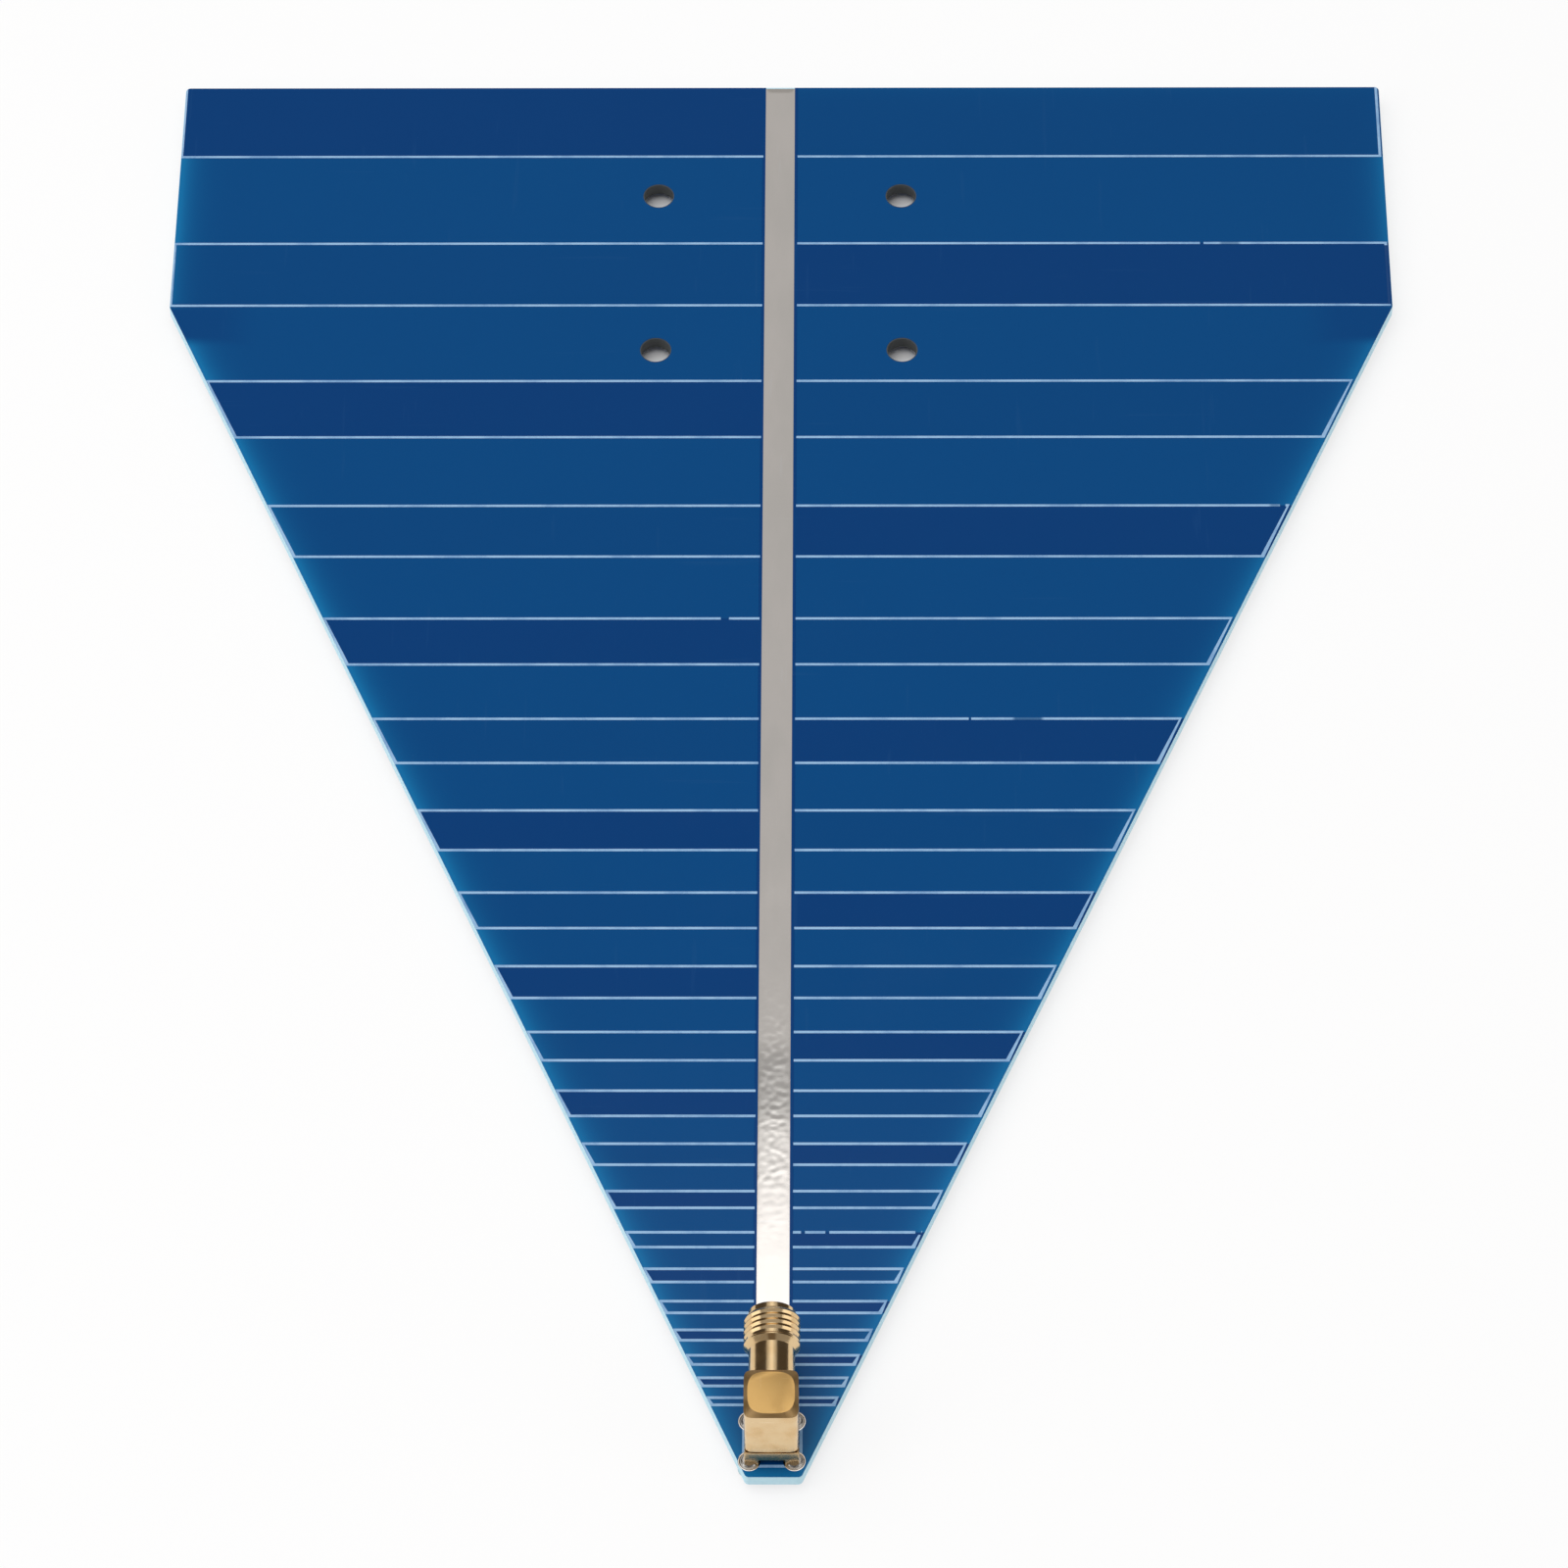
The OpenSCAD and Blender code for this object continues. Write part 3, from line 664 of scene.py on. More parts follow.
# Painted reflection: the top face and its chamfer wear darker copies of the gold, deeper on top
# and brown on the chamfer, for the dim room they mirror
TOP_REFLECTION_GOLD = (0.69, 0.43, 0.155, 1.0)
TOP_REFLECTION_PATCH = (0.68, 0.42, 0.15, 1.0)
RIM_REFLECTION_BROWN = (0.54, 0.35, 0.16, 1.0)
RIM_REFLECTION_PATCH = (0.44, 0.28, 0.12, 1.0)
SCRATCHED_GOLD = (0.9, 0.76, 0.5, 1.0)

CUTTER_DEPTH = 0.004 * MM
TURNING_DEPTH = 0.003 * MM
FACED_LINES = (2500.0, 2500.0, 600.0)


def gold_paint(name, colours, line_scale, line_depth, roughness):
    material, tree, shader, place = new_material(name)
    marks = place_group(tree, handling_marks, Place=place, Size=6.0)
    lines = stretched_noise(tree, place, line_scale, detail=3.0, rough=0.7)
    patch = noise_at(tree, place, scale=420.0, detail=3.0)
    base = blend(tree, ramp_between(tree, patch, 0.35, 0.7), colours[0], colours[1])
    base = blend(tree, times(tree, marks["Scratch"], 0.25), base, SCRATCHED_GOLD)
    wire(tree, base, shader.inputs["Base Color"])
    rough = scaled(tree, marks["Rub"], 0.1, roughness)
    wire(tree, rough, shader.inputs["Roughness"])
    shader.inputs["Metallic"].default_value = 1.0
    wire(tree, bump(tree, lines, line_depth), shader.inputs["Normal"])
    return material


side_tones = (PALE_GOLD, WARM_GOLD)
top_reflection_tones = (TOP_REFLECTION_GOLD, TOP_REFLECTION_PATCH)
rim_reflection_tones = (RIM_REFLECTION_BROWN, RIM_REFLECTION_PATCH)
milled_gold = gold_paint(
    "milled_gold", side_tones, (600.0, 600.0, 6000.0), CUTTER_DEPTH, roughness=0.24)
top_reflection_gold = gold_paint("top_reflection_gold", top_reflection_tones, FACED_LINES, CUTTER_DEPTH, roughness=0.3)
rim_reflection_gold = gold_paint("rim_reflection_gold", rim_reflection_tones, FACED_LINES, CUTTER_DEPTH, roughness=0.42)
turned_gold = gold_paint(
    "turned_gold", side_tones, (300.0, 9000.0, 300.0), TURNING_DEPTH, roughness=0.17)
contact_gold = gold_paint(
    "contact_gold", side_tones, (900.0, 6000.0, 900.0), TURNING_DEPTH, roughness=0.16)
clothe("jack_body", milled_gold)
clothe("jack_barrel", turned_gold)
clothe("centre_contact", contact_gold)
clothe("centre_pin", contact_gold)

# %% [markdown]
# **Insulator.**  The white plastic of a coaxial jack is waxy: light goes into it a little, and its
# face has a fine grain.

# %% Insulator
WAXY_WHITE = (0.88, 0.88, 0.85, 1.0)
WAXY_SHADE = (0.78, 0.78, 0.75, 1.0)


def insulator_paint():
    material, tree, shader, place = new_material("insulator")
    fine = noise_at(tree, place, scale=3000.0, detail=2.0)
    base = blend(tree, fine, WAXY_WHITE, WAXY_SHADE)
    wire(tree, base, shader.inputs["Base Color"])
    wire(tree, scaled(tree, fine, 0.15, 0.4), shader.inputs["Roughness"])
    shader.inputs["Subsurface Weight"].default_value = 0.3
    shader.inputs["Subsurface Scale"].default_value = 0.6 * MM
    wire(tree, bump(tree, fine, distance=0.008 * MM), shader.inputs["Normal"])
    return material


insulator = insulator_paint()
for name in ("barrel_insulator", "body_insulator"):
    clothe(name, insulator)

# %% [markdown]
# ## New pieces
#
# A finished mesh is smooth over its curves and sharp at its edges.  Marking each edge by its angle
# does that without a modifier, so the piece looks the same wherever it is exported.

# %% Helpers: make an object, finish a mesh
MERGE_DISTANCE = 0.0005 * MM


def object_from(name, shape, material):
    """Puts a bmesh into the scene as an object with one material, and returns the object."""
    mesh = bpy.data.meshes.new(name)
    shape.to_mesh(mesh)
    shape.free()
    mesh.materials.append(material)
    piece = bpy.data.objects.new(name, mesh)
    bpy.context.scene.collection.objects.link(piece)
    return piece


def closed_loop(shape, points):
    """Adds a closed chain of edges through the points and returns its parts."""
    verts = [shape.verts.new(point) for point in points]
    return verts + [shape.edges.new(pair) for pair in zip(verts, verts[1:] + verts[:1])]


def finish_piece(name, shape, material, stands_for=(), sharp=35.0):
    """Turns a bmesh into an object that rides on the board, and returns it."""
    bmesh.ops.remove_doubles(shape, verts=shape.verts, dist=MERGE_DISTANCE)
    bmesh.ops.recalc_face_normals(shape, faces=shape.faces)
    for face in shape.faces:
        face.smooth = True
    for edge in shape.edges:
        edge.smooth = len(edge.link_faces) == 2 and edge.calc_face_angle(0.0) < math.radians(sharp)
    piece = object_from(name, shape, material)
    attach(piece, "root")
    if stands_for:
        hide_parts(*stands_for)
    print(f"{name}: {len(piece.data.vertices)} points, {len(piece.data.polygons)} faces")
    return piece


# %% [markdown]
# **The solder-coated band.**  On the real board the bare strip of the boom is wetted with solder,
# and surface tension makes it a very low dome with soft edges.  Over one stretch near the jack the
# coat froze in wrinkles.  It is made from a fine grid that is shaped point by point: a dome
# across, slow waves along, and a patch of creases.  Its rim is extruded down to the copper, which
# closes it.

# %% Solder band
crease_middle = -126 * MM
crease_reach = 13 * MM
coat_least = 0.006 * MM
dome_height = 0.034 * MM
end_slope = 0.8 * MM


def band_height(x, y, half, ends):
    """Height of the coat over the copper at a point of the band."""
    across = 1 - min(abs(x) / half, 1) ** 4
    to_end = min(y - ends[0], ends[1] - y)
    along = min(max(to_end, 0) / end_slope, 1)
    dome = dome_height * across * math.sqrt(along)
    slow = noise.noise(Vector((x * 260, y * 90, 0.3)))
    near = math.exp(-(((y - crease_middle) / crease_reach) ** 2))
    crease = abs(noise.noise(Vector((x * 700 + y * 500, y * 1100 - x * 300, 2.7))))
    lump = noise.noise(Vector((x * 1500, y * 1500, 5.1)))
    # Waves, creases and lumps, in millimetres
    wave = 0.004 * slow + near * (0.016 * crease + 0.007 * lump)
    return coat_least + dome + across * along * wave * MM


def solder_band(side, copper_z, ends):
    """side is +1 on the front and -1 on the back; ends are the band's two ends along Y."""
    length = ends[1] - ends[0]
    shape = bmesh.new()
    bmesh.ops.create_grid(shape, x_segments=22, y_segments=760, size=0.5)
    for vert in shape.verts:
        x = vert.co.x * 2 * band_half
        y = ends[0] + (vert.co.y + 0.5) * length
        vert.co = (x, y, copper_z + side * band_height(x, y, band_half, ends))
    rim = [edge for edge in shape.edges if edge.is_boundary]
    skirt = bmesh.ops.extrude_edge_only(shape, edges=rim)["geom"]
    for vert in (g for g in skirt if isinstance(g, bmesh.types.BMVert)):
        vert.co.z = copper_z
    low_rim = [edge for edge in shape.edges if edge.is_boundary]
    bmesh.ops.contextual_create(shape, geom=low_rim)
    return shape


front_copper_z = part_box("copper_front")[1].z
back_copper_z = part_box("copper_back")[0].z
print(f"copper faces at {1e3 * back_copper_z:.3f} and {1e3 * front_copper_z:.3f} mm")

# %% [markdown]
# ** Pad rings.** Round each leg the pad's rim carries the same bright coat, and inside it lies a
# ring of duller solder that ran up to the leg, with a painted reflection of the jack's dark
# underside.  Both are a small profile spun round the leg's axis: a low dome whose edges meet the
# copper.

# %% Pad rings
jack_low, jack_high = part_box("jack_body")
jack_x = (jack_low.x + jack_high.x) / 2
jack_y = (jack_low.y + jack_high.y) / 2
leg_x = 2.54 * MM
ring_facets = 6


def add_ring(shape, centre, inner, outer, base_z, side, height):
    """Adds a closed, low-domed ring about the vertical axis through centre."""
    middle = (inner + outer) / 2
    half = (outer - inner) / 2
    points = [(inner, 0.0)]
    for i in range(1, ring_facets):
        angle = math.pi * i / ring_facets
        points.append((middle - half * math.cos(angle), height * math.sin(angle)))
    points.append((outer, 0.0))
    loop = closed_loop(shape, [(centre[0] + r, centre[1], base_z + side * h) for r, h in points])
    bmesh.ops.spin(shape, geom=loop, cent=(centre[0], centre[1], base_z), axis=(0, 0, 1),
                   angle=math.tau, steps=40, use_merge=True, use_duplicate=False)


def leg_places():
    return [(sx * leg_x, jack_y + sy * leg_x) for sx in (-1, 1) for sy in (-1, 1)]


pad_outer = 1.29 * MM
rim_inner = 1.08 * MM
hole_inner = 0.75 * MM
pin_ring = (0.55 * MM, 0.95 * MM)
rim_height = 0.05 * MM
fillet_height = 0.04 * MM

# The coat stops short of the jack's printed square in front, and of the pin's neck behind
front_band_y = jack_y + 3.05 * MM + 1.2 * MM
back_band_y = jack_y + 4.38 * MM
band_end_y = wide_y - 0.2 * MM

for side, copper_z, old in ((1, front_copper_z, "tin_front"), (-1, back_copper_z, "tin_back")):
    face = "front" if side > 0 else "back"
    start_y = front_band_y if side > 0 else back_band_y
    band = solder_band(side, copper_z, (start_y, band_end_y))
    finish_piece("solder_band_" + face, band, solder_coat, (old,))
    rims = bmesh.new()
    fillets = bmesh.new()
    for place in leg_places():
        add_ring(rims, place, rim_inner, pad_outer, copper_z, side, rim_height)
        add_ring(fillets, place, hole_inner, rim_inner, copper_z, side, fillet_height)
    if side < 0:
        add_ring(fillets, (0.0, jack_y), *pin_ring, copper_z, side, rim_height)
    finish_piece("pad_rings_" + face, rims, solder_coat)
    finish_piece("leg_solder_" + face, fillets, joint_solder)

# %% [markdown]
# **The threaded barrel.**  The CAD solid is a plain cylinder over the thread's crests.  Here the
# barrel is a turned core with a real helical ridge.  The core is one profile spun about the
# barrel's axis.  The ridge is a small closed section spun with a step along the axis at every
# turn, which is how a lathe cuts a thread, and over its first and last third of a turn it sinks
# into the core as a run-out.

# %% Barrel sizes
barrel_low, barrel_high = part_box("jack_barrel")
axis_z = (barrel_low.z + barrel_high.z) / 2
nose_y = barrel_high.y
crest_r = 3.175 * MM
pitch = 0.7056 * MM
root_r = crest_r - 0.18 * MM
lip_r = 2.65 * MM
print(f"barrel axis at {1e3 * axis_z:.2f} mm, {crest_r * 2e3:.2f} mm over the crests")


def from_nose(distance_mm):
    """Place along the barrel, measured back from its open end."""
    return nose_y - distance_mm * MM


def spin_about_barrel(shape, profile, steps=96, turns=1.0, rise=0.0):
    """Spins a closed (radius, along) profile about the barrel's axis; rise is per whole turn."""
    loop = closed_loop(shape, [(0.0, y, axis_z + r) for r, y in profile])
    bmesh.ops.spin(
        shape, geom=loop, cent=(0.0, 0.0, axis_z), axis=(0.0, 1.0, 0.0),
        dvec=(0.0, rise / steps, 0.0), angle=math.tau * turns, steps=int(steps * turns),
        use_merge=rise == 0.0, use_duplicate=False,
    )


# %% Barrel core and ridge
def barrel_core(shape):
    seat_r = 2.05 * MM
    neck_r = 2.6 * MM
    socket_r = 2.3 * MM
    edge_break = 0.08 * MM
    profile = [
        # The neck, and the slope up to the collar that ends the thread
        (seat_r, barrel_low.y), (neck_r, barrel_low.y),
        (neck_r, from_nose(4.98)), (2.66 * MM, from_nose(4.9)),
        # The collar
        (crest_r - edge_break, from_nose(4.5)), (crest_r, from_nose(4.4)),
        (crest_r, from_nose(4.28)), (crest_r - edge_break, from_nose(4.22)),
        # The root of the thread, the plain lip and the mouth
        (root_r, from_nose(4.08)), (root_r, from_nose(0.9)), (lip_r, from_nose(0.62)),
        (lip_r, from_nose(0.06)), (2.59 * MM, nose_y), (socket_r + edge_break, nose_y),
        # The socket down to the insulator's seat
        (socket_r, from_nose(0.1)), (socket_r, from_nose(1.93)), (seat_r, from_nose(1.93)),
    ]
    spin_about_barrel(shape, profile)


def thread_ridge(shape):
    """A helical ridge whose ends sink into the core."""
    start_y = from_nose(4.04)
    turns = 4.5
    run_out = 0.3
    flat = pitch / 40
    knee = pitch / 14
    foot = pitch * 0.49
    sunk = root_r - 0.01 * MM
    knee_r = crest_r - 0.02 * MM
    profile = [(sunk, start_y - foot), (knee_r, start_y - knee), (crest_r, start_y - flat),
               (crest_r, start_y + flat), (knee_r, start_y + knee), (sunk, start_y + foot)]
    spin_about_barrel(shape, profile, steps=72, turns=turns, rise=pitch)
    caps = [edge for edge in shape.edges if edge.is_boundary]
    bmesh.ops.edgeloop_fill(shape, edges=caps)
    # Run-out: the ridge rises out of the core at its start and sinks back into it at its end
    for vert in shape.verts:
        angle = math.atan2(vert.co.x, vert.co.z - axis_z) % math.tau
        along = (vert.co.y - start_y) / pitch
        turn = round(along - angle / math.tau) + angle / math.tau
        keep = min(max(min(turn, turns - turn) / run_out, 0.0), 1.0)
        radius = math.hypot(vert.co.x, vert.co.z - axis_z)
        wanted = sunk + (radius - sunk) * (3 * keep ** 2 - 2 * keep ** 3)
        # The lead chamfer at the nose cuts the crests down to the lip
        limit = lip_r + max(from_nose(0.4) - vert.co.y, 0.0)
        wanted = min(wanted, max(limit, sunk))
        vert.co.x *= wanted / radius
        vert.co.z = axis_z + (vert.co.z - axis_z) * wanted / radius


core = bmesh.new()
barrel_core(core)
finish_piece("jack_barrel_core", core, turned_gold, ("jack_barrel",), sharp=25.0)
ridge = bmesh.new()
thread_ridge(ridge)
finish_piece("jack_thread", ridge, turned_gold, sharp=30.0)

# %% [markdown]
# **The jack's body.**  The body is a square bar with rounded corners.  Its top was chamfered on a
# lathe, which cuts deeper at the corners, so the top face is nearly round.  A thin groove parts
# the bar from its base, and feet and legs are milled under it.  The bar starts from a circle whose
# points are moved out to a superellipse: a high power gives the square, and a power of 3 the
# rounder top.  The base, feet and legs are cubes, bevelled.

# %% Jack body sizes
body_half = 3.05 * MM
stand_z = jack_high.z - 10.95 * MM
base_low = stand_z + 1.0 * MM
base_top = stand_z + 2.6 * MM
groove_top = base_top + 0.32 * MM
groove_r = 2.9 * MM
top_chamfer = 0.38 * MM
top_bevel = 0.04 * MM
wall_power = 8.0
top_power = 3.0
print(f"body stands at {1e3 * stand_z:.3f} mm and its top is at {1e3 * jack_high.z:.3f} mm")


def squircle(verts, half, power):
    """Moves points that surround the body's axis out or in to a superellipse."""
    for vert in verts:
        angle = math.atan2(vert.co.y - jack_y, vert.co.x - jack_x)
        c, s = abs(math.cos(angle)), abs(math.sin(angle))
        radius = half / (c ** power + s ** power) ** (1 / power)
        vert.co.x = jack_x + radius * math.cos(angle)
        vert.co.y = jack_y + radius * math.sin(angle)


def raise_face(shape, face, height):
    """Extrudes a face straight up and returns the new top face."""
    made = bmesh.ops.extrude_face_region(shape, geom=[face])["geom"]
    verts = [g for g in made if isinstance(g, bmesh.types.BMVert)]
    bmesh.ops.translate(shape, verts=verts, vec=(0.0, 0.0, height))
    return next(g for g in made if isinstance(g, bmesh.types.BMFace))


def add_block(shape, low, high, bevel):
    """A box between any two opposite corners, with its edges bevelled."""
    made = bmesh.ops.create_cube(shape, size=1.0)["verts"]
    size = Vector(high) - Vector(low)
    middle = (Vector(high) + Vector(low)) / 2
    for vert in made:
        vert.co = Vector((vert.co.x * size.x, vert.co.y * size.y, vert.co.z * size.z)) + middle
    # A dictionary holds each edge once and keeps the order, which a set does not
    sides = dict.fromkeys(edge for vert in made for edge in vert.link_edges)
    bmesh.ops.bevel(shape, geom=list(sides), offset=bevel, affect="EDGES", segments=3, profile=0.5,
                    material=-1)


# %% Jack body
def turned_top(shape):
    """The upper part of the body, from the groove to the chamfered top."""
    wall_top = jack_high.z - top_chamfer
    start = Matrix.Translation((jack_x, jack_y, groove_top))
    made = bmesh.ops.create_circle(
        shape, cap_ends=True, segments=176, radius=body_half, matrix=start)
    squircle(made["verts"], body_half, wall_power)
    wall = raise_face(shape, made["verts"][0].link_faces[0], wall_top - groove_top)
    rim = list(wall.edges)
    top = raise_face(shape, wall, top_chamfer)
    squircle(top.verts, body_half - top_chamfer, top_power)
    bmesh.ops.bevel(shape, geom=rim + list(top.edges), offset=top_bevel, affect="EDGES",
                    segments=2, profile=0.5, material=-1)


def feet_and_legs(shape):
    foot = 1.55 * MM
    foot_height = 1.1 * MM
    leg = 0.51 * MM
    overlap = 0.1 * MM
    for sx in (-1, 1):
        for sy in (-1, 1):
            outer = (jack_x + sx * body_half, jack_y + sy * body_half)
            inner = (outer[0] - sx * foot, outer[1] - sy * foot)
            foot_low = (min(outer[0], inner[0]), min(outer[1], inner[1]), stand_z)
            foot_high = (max(outer[0], inner[0]), max(outer[1], inner[1]), stand_z + foot_height)
            add_block(shape, foot_low, foot_high, bevel=0.07 * MM)
            centre = (jack_x + sx * leg_x, jack_y + sy * leg_x)
            leg_low = (centre[0] - leg, centre[1] - leg, jack_low.z)
            leg_high = (centre[0] + leg, centre[1] + leg, stand_z + overlap)
            add_block(shape, leg_low, leg_high, bevel=0.08 * MM)


def jack_body_shape():
    shape = bmesh.new()
    turned_top(shape)
    groove = Matrix.Translation((jack_x, jack_y, (base_top + groove_top) / 2))
    bmesh.ops.create_cone(shape, cap_ends=True, segments=96, radius1=groove_r, radius2=groove_r,
                          depth=groove_top - base_top + 0.1 * MM, matrix=groove)
    low = (jack_x - body_half, jack_y - body_half, base_low)
    high = (jack_x + body_half, jack_y + body_half, base_top)
    add_block(shape, low, high, bevel=0.09 * MM)
    feet_and_legs(shape)
    return shape


body_shape = jack_body_shape()
body = finish_piece("jack_body_shell", body_shape, milled_gold, ("jack_body",), sharp=12.0)
body.data.materials.append(top_reflection_gold)
body.data.materials.append(rim_reflection_gold)
# Painted reflection: the top face and its chamfer take the darker copies of the gold
for polygon in body.data.polygons:
    depth = jack_high.z - 0.01 * MM - polygon.center.z
    if depth < 0:
        polygon.material_index = 1
    elif depth < top_chamfer:
        polygon.material_index = 2

# %% [markdown]
# ## Floor, lamps and camera
#
# The floor is white and plain.  For camera, glossy and transmission rays part of its light is its
# own, so it shows as white behind the board and in the gold, and it still takes the board's
# shadow.  Right under the board it has no light of its own, so the mounting holes look down on
# shade.

# %% Floor
FLOOR_WHITE = (0.93, 0.93, 0.93, 1.0)
FLOOR_OWN_LIGHT = 0.75
floor_gap = 0.02 * MM


def floor_paint():
    material = bpy.data.materials.new("studio_floor")
    material.use_nodes = True
    tree = material.node_tree
    shader = tree.nodes["Principled BSDF"]
    shader.inputs["Base Color"].default_value = FLOOR_WHITE
    shader.inputs["Roughness"].default_value = 0.9
    shader.inputs["Specular IOR Level"].default_value = 0.1
    glow = tree.nodes.new("ShaderNodeEmission")
    glow.inputs["Strength"].default_value = 1.0
    rays = tree.nodes.new("ShaderNodeLightPath").outputs
    seen = maths(tree, "MAXIMUM", rays["Is Camera Ray"], rays["Is Glossy Ray"])
    seen = maths(tree, "MAXIMUM", seen, rays["Is Transmission Ray"])
    place = tree.nodes.new("ShaderNodeTexCoord").outputs["Object"]
    inside = place_group(tree, edge_distance, Place=place)["Distance"]
    open_floor = ramp_between(tree, inside, low=3 * MM, high=0.5 * MM)
    mix = tree.nodes.new("ShaderNodeMixShader")
    own_light = times(tree, times(tree, seen, open_floor), FLOOR_OWN_LIGHT)
    wire(tree, own_light, mix.inputs["Fac"])
    tree.links.new(shader.outputs[0], mix.inputs[1])
    tree.links.new(glow.outputs[0], mix.inputs[2])
    tree.links.new(mix.outputs[0], tree.nodes["Material Output"].inputs["Surface"])
    return material


floor_shape = bmesh.new()
bmesh.ops.create_circle(floor_shape, cap_ends=True, segments=96, radius=4.0)
bmesh.ops.translate(floor_shape, verts=floor_shape.verts, vec=(0.0, -0.1, lowest_z - floor_gap))
piece = object_from("floor", floor_shape, floor_paint())
print(f"floor at {1e3 * (lowest_z - floor_gap):.2f} mm")

# %% [markdown]
# **Dark cards.**  Metal shows what is round it, and without something dark to mirror it looks
# flat.  A ring of grey card stands round the table, as in a photographer's studio, with a dark
# card on each side and a small brown one in front of the jack.  Only glossy rays see them, so they
# neither dim the light on the board nor show behind it.

# %% Dark cards
def glowing(name, colour):
    """A material that shows one plain colour, whatever light falls on it."""
    material = bpy.data.materials.new(name)
    material.use_nodes = True
    tree = material.node_tree
    tree.nodes.remove(tree.nodes["Principled BSDF"])
    glow = tree.nodes.new("ShaderNodeEmission")
    glow.inputs["Color"].default_value = colour
    tree.links.new(glow.outputs[0], tree.nodes["Material Output"].inputs["Surface"])
    return material


def hang_card(name, shape, colour):
    """Makes a piece of the studio that only glossy rays see."""
    card = object_from(name, shape, glowing(name, colour))
    card.visible_camera = False
    card.visible_diffuse = False
    card.visible_shadow = False
    card.visible_transmission = False
    print(name, "hangs in the studio")


def flat_card(name, middle, size, colour):
    """A thin upright card; size is its extent along X, Y and Z."""
    shape = bmesh.new()
    placed = Matrix.Translation(middle) @ Matrix.Diagonal((*size, 1.0))
    bmesh.ops.create_cube(shape, size=1.0, matrix=placed)
    hang_card(name, shape, colour)


CARD_GREY = (0.34, 0.33, 0.32, 1.0)
CARD_DARK = (0.075, 0.065, 0.055, 1.0)
CARD_BROWN = (0.16, 0.125, 0.09, 1.0)

ring_r = 2.4
ring_height = 2.42
ring = bmesh.new()
bmesh.ops.create_cone(ring, cap_ends=False, segments=64, radius1=ring_r, radius2=ring_r,
                      depth=ring_height, matrix=Matrix.Translation((0.0, -0.1, ring_height / 2)))
hang_card("card_ring", ring, CARD_GREY)
for side in (-1, 1):
    name = "side_card_left" if side < 0 else "side_card_right"
    flat_card(name, middle=(side * 1.1, 0.875, 1.1), size=(0.01, 1.45, 2.2), colour=CARD_DARK)
flat_card("front_card", middle=(0.0, tip_y - 0.1, 0.06), size=(0.06, 0.002, 0.12),
          colour=CARD_BROWN)

# %% [markdown]
# **Lamps.**  A bright bar hangs where the near part of the solder band mirrors it, with a weaker
# tail that the wrinkled part mirrors, so the band goes from white to grey by two steps.  A wide
# and weaker softbox hangs between it and the camera.  One more stands low on each side, a little
# towards the camera, where the flanks of the thread mirror it and a view along the board doesn't.
# The fill lights matt surfaces only, so that they show about their written colours, and a little
# more on the left.  A lamp doesn't hide what is behind it: what a mirror shows of it is added to
# the world's own light.

# %% Lamps and world
def soft_lamp(name, place, look_at, size, radiance, mirrored=True):
    """A rectangular lamp of the given radiance, in the same units as the world's strength."""
    lamp = bpy.data.lights.new(name, "AREA")
    lamp.shape = "RECTANGLE"
    lamp.size, lamp.size_y = size
    lamp.energy = radiance * math.pi * size[0] * size[1]
    obj = bpy.data.objects.new(name, lamp)
    bpy.context.scene.collection.objects.link(obj)
    obj.location = place
    direction = Vector(look_at) - Vector(place)
    obj.rotation_euler = direction.to_track_quat("-Z", "Y").to_euler()
    obj.visible_glossy = mirrored
    obj.visible_camera = False
    print(f"{name}: {lamp.energy:.1f} W")


def hanging_lamp(name, near_y, far_y, width, radiance, height=1.0):
    """A lamp that faces straight down, from near_y to far_y along the board's middle line."""
    middle = (near_y + far_y) / 2
    size = (width, far_y - near_y)
    soft_lamp(name, (0.0, middle, height), (0.0, middle, 0.0), size, radiance)


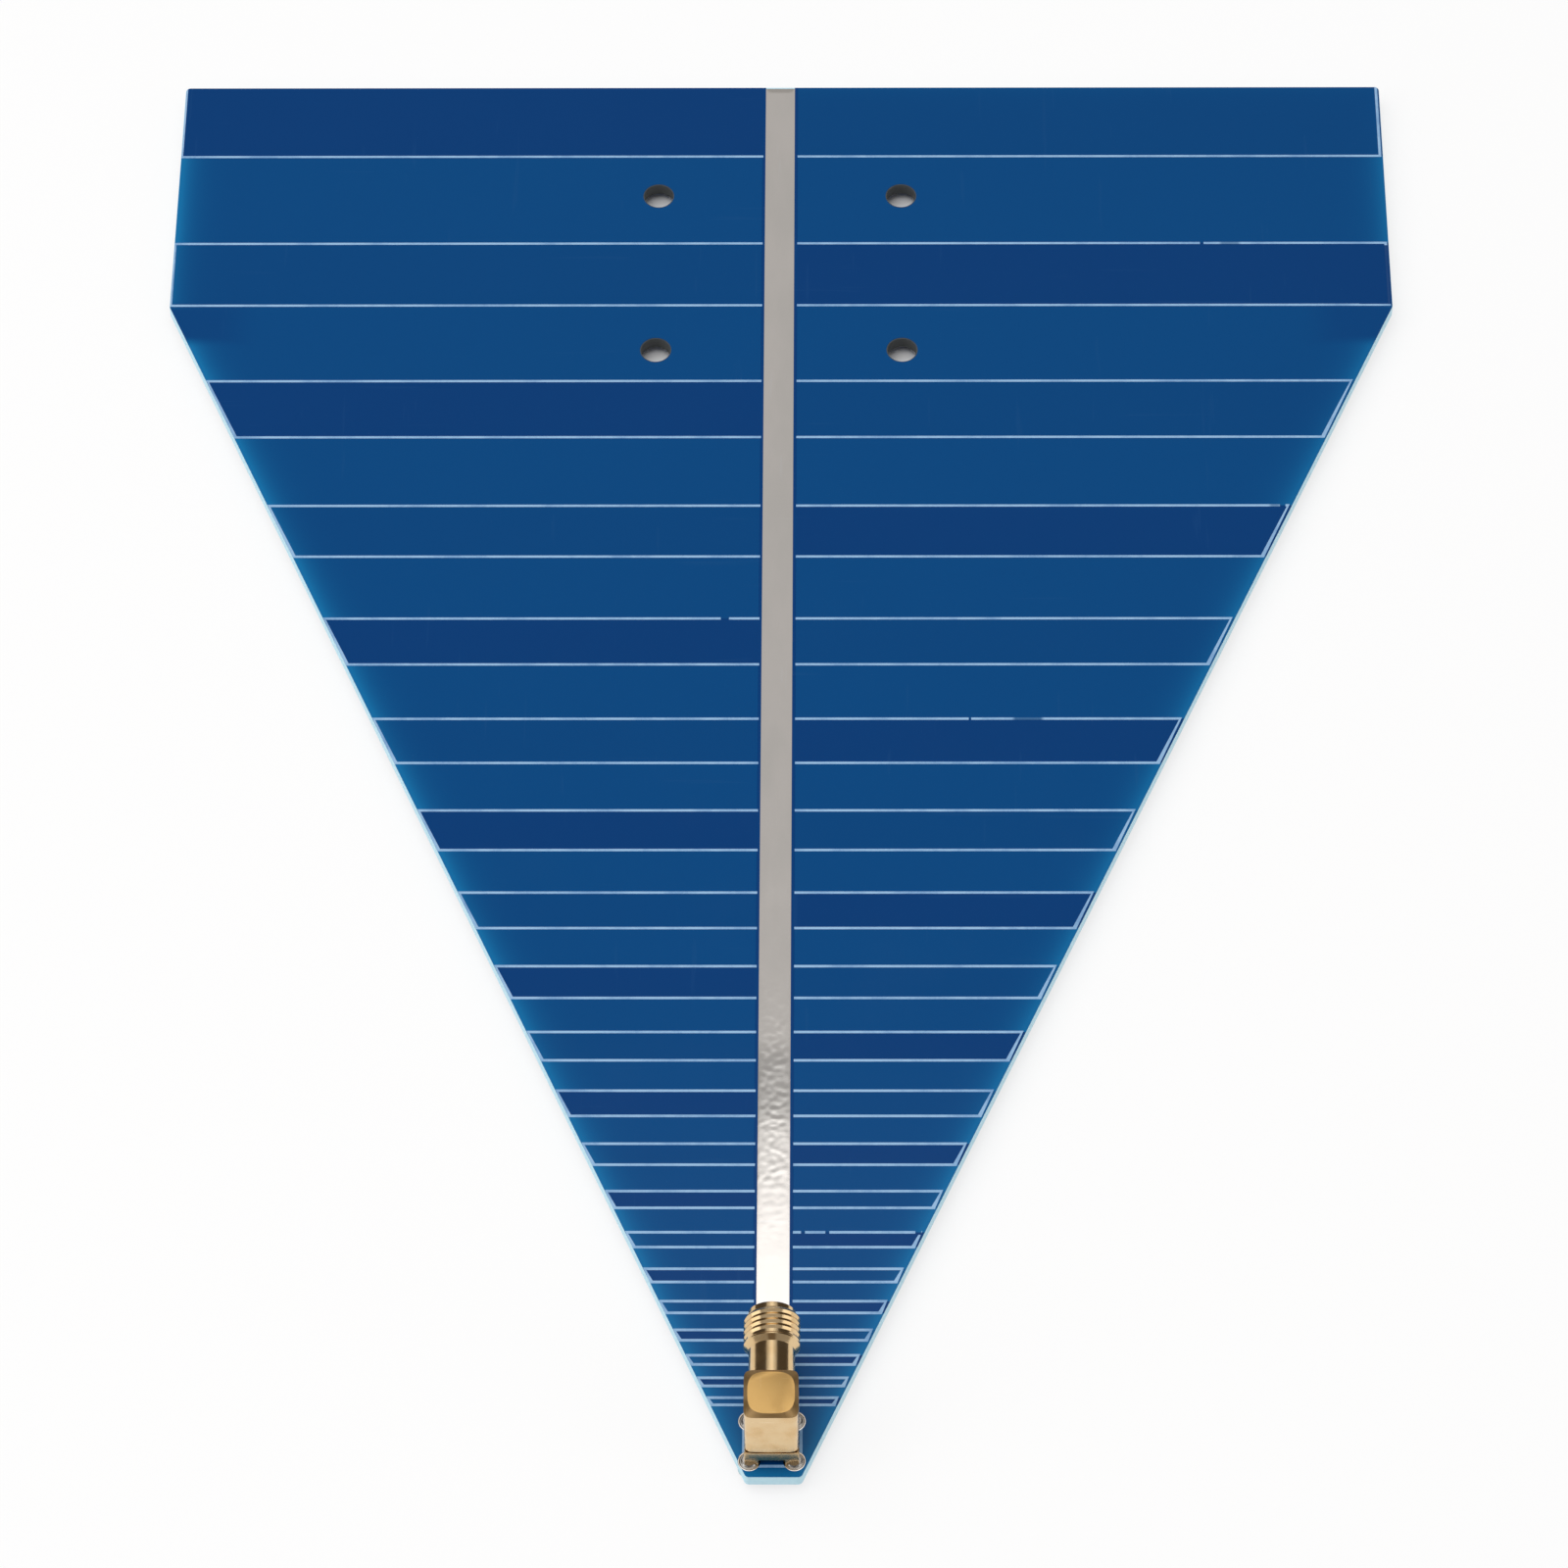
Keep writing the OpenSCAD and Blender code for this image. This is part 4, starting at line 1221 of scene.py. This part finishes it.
bar_far_y = 0.474
overhead_far_y = 0.405
hanging_lamp("bar", overhead_far_y, bar_far_y, width=0.3, radiance=0.8)
hanging_lamp("bar_tail", bar_far_y, 0.512, width=0.3, radiance=0.34)
hanging_lamp("overhead", -0.45, overhead_far_y, width=0.7, radiance=0.85)

near_jack = (0.0, -0.15, 0.0)
for name, side, radiance in (("left_softbox", -1, 1.3), ("right_softbox", 1, 1.1)):
    soft_lamp(name, place=(side * 1.1, -0.54, 0.45), look_at=near_jack, size=(0.62, 0.85),
              radiance=radiance)
soft_lamp("matt_fill", place=(-0.6, -0.1, 1.2), look_at=(0.0, -0.1, 0.0), size=(1.4, 1.4),
          radiance=1.45, mirrored=False)

WORLD_GREY = (0.47, 0.46, 0.455, 1.0)
world = bpy.data.worlds.new("studio")
bpy.context.scene.world = world
world.use_nodes = True
world.node_tree.nodes["Background"].inputs["Color"].default_value = WORLD_GREY
world.node_tree.nodes["Background"].inputs["Strength"].default_value = 1.0

# %% [markdown]
# **Camera.**  A long lens looks down on the board from in front of its tip.  The eye's place, the
# angle down, the small turn to one side and the small roll are all that a plain perspective has.

# %% Camera
eye = Vector((7.37, -525.56, 635.4)) * MM
tilt = math.radians(54.853)
turn = math.radians(-0.8244)
roll = math.radians(-0.6927)

level = math.cos(tilt)
forward = Vector((math.sin(turn) * level, math.cos(turn) * level, -math.sin(tilt)))
right = Vector((math.cos(turn), -math.sin(turn), 0.0))
up = right.cross(forward)
right_rolled = right * math.cos(roll) + up * math.sin(roll)
up_rolled = up * math.cos(roll) - right * math.sin(roll)

lens = bpy.data.cameras.new("camera")
lens.sensor_width = 36.0
lens.lens = 148.5
lens.clip_start = 0.01
lens.clip_end = 20.0
camera = bpy.data.objects.new("camera", lens)
bpy.context.scene.collection.objects.link(camera)
turned = Matrix((right_rolled, up_rolled, -forward)).transposed().to_4x4()
camera.matrix_world = Matrix.Translation(eye) @ turned
bpy.context.scene.camera = camera
print(f"a {lens.lens} mm lens looks {math.degrees(tilt):.1f} degrees down")
bpy.context.scene.view_settings.view_transform = "Standard"
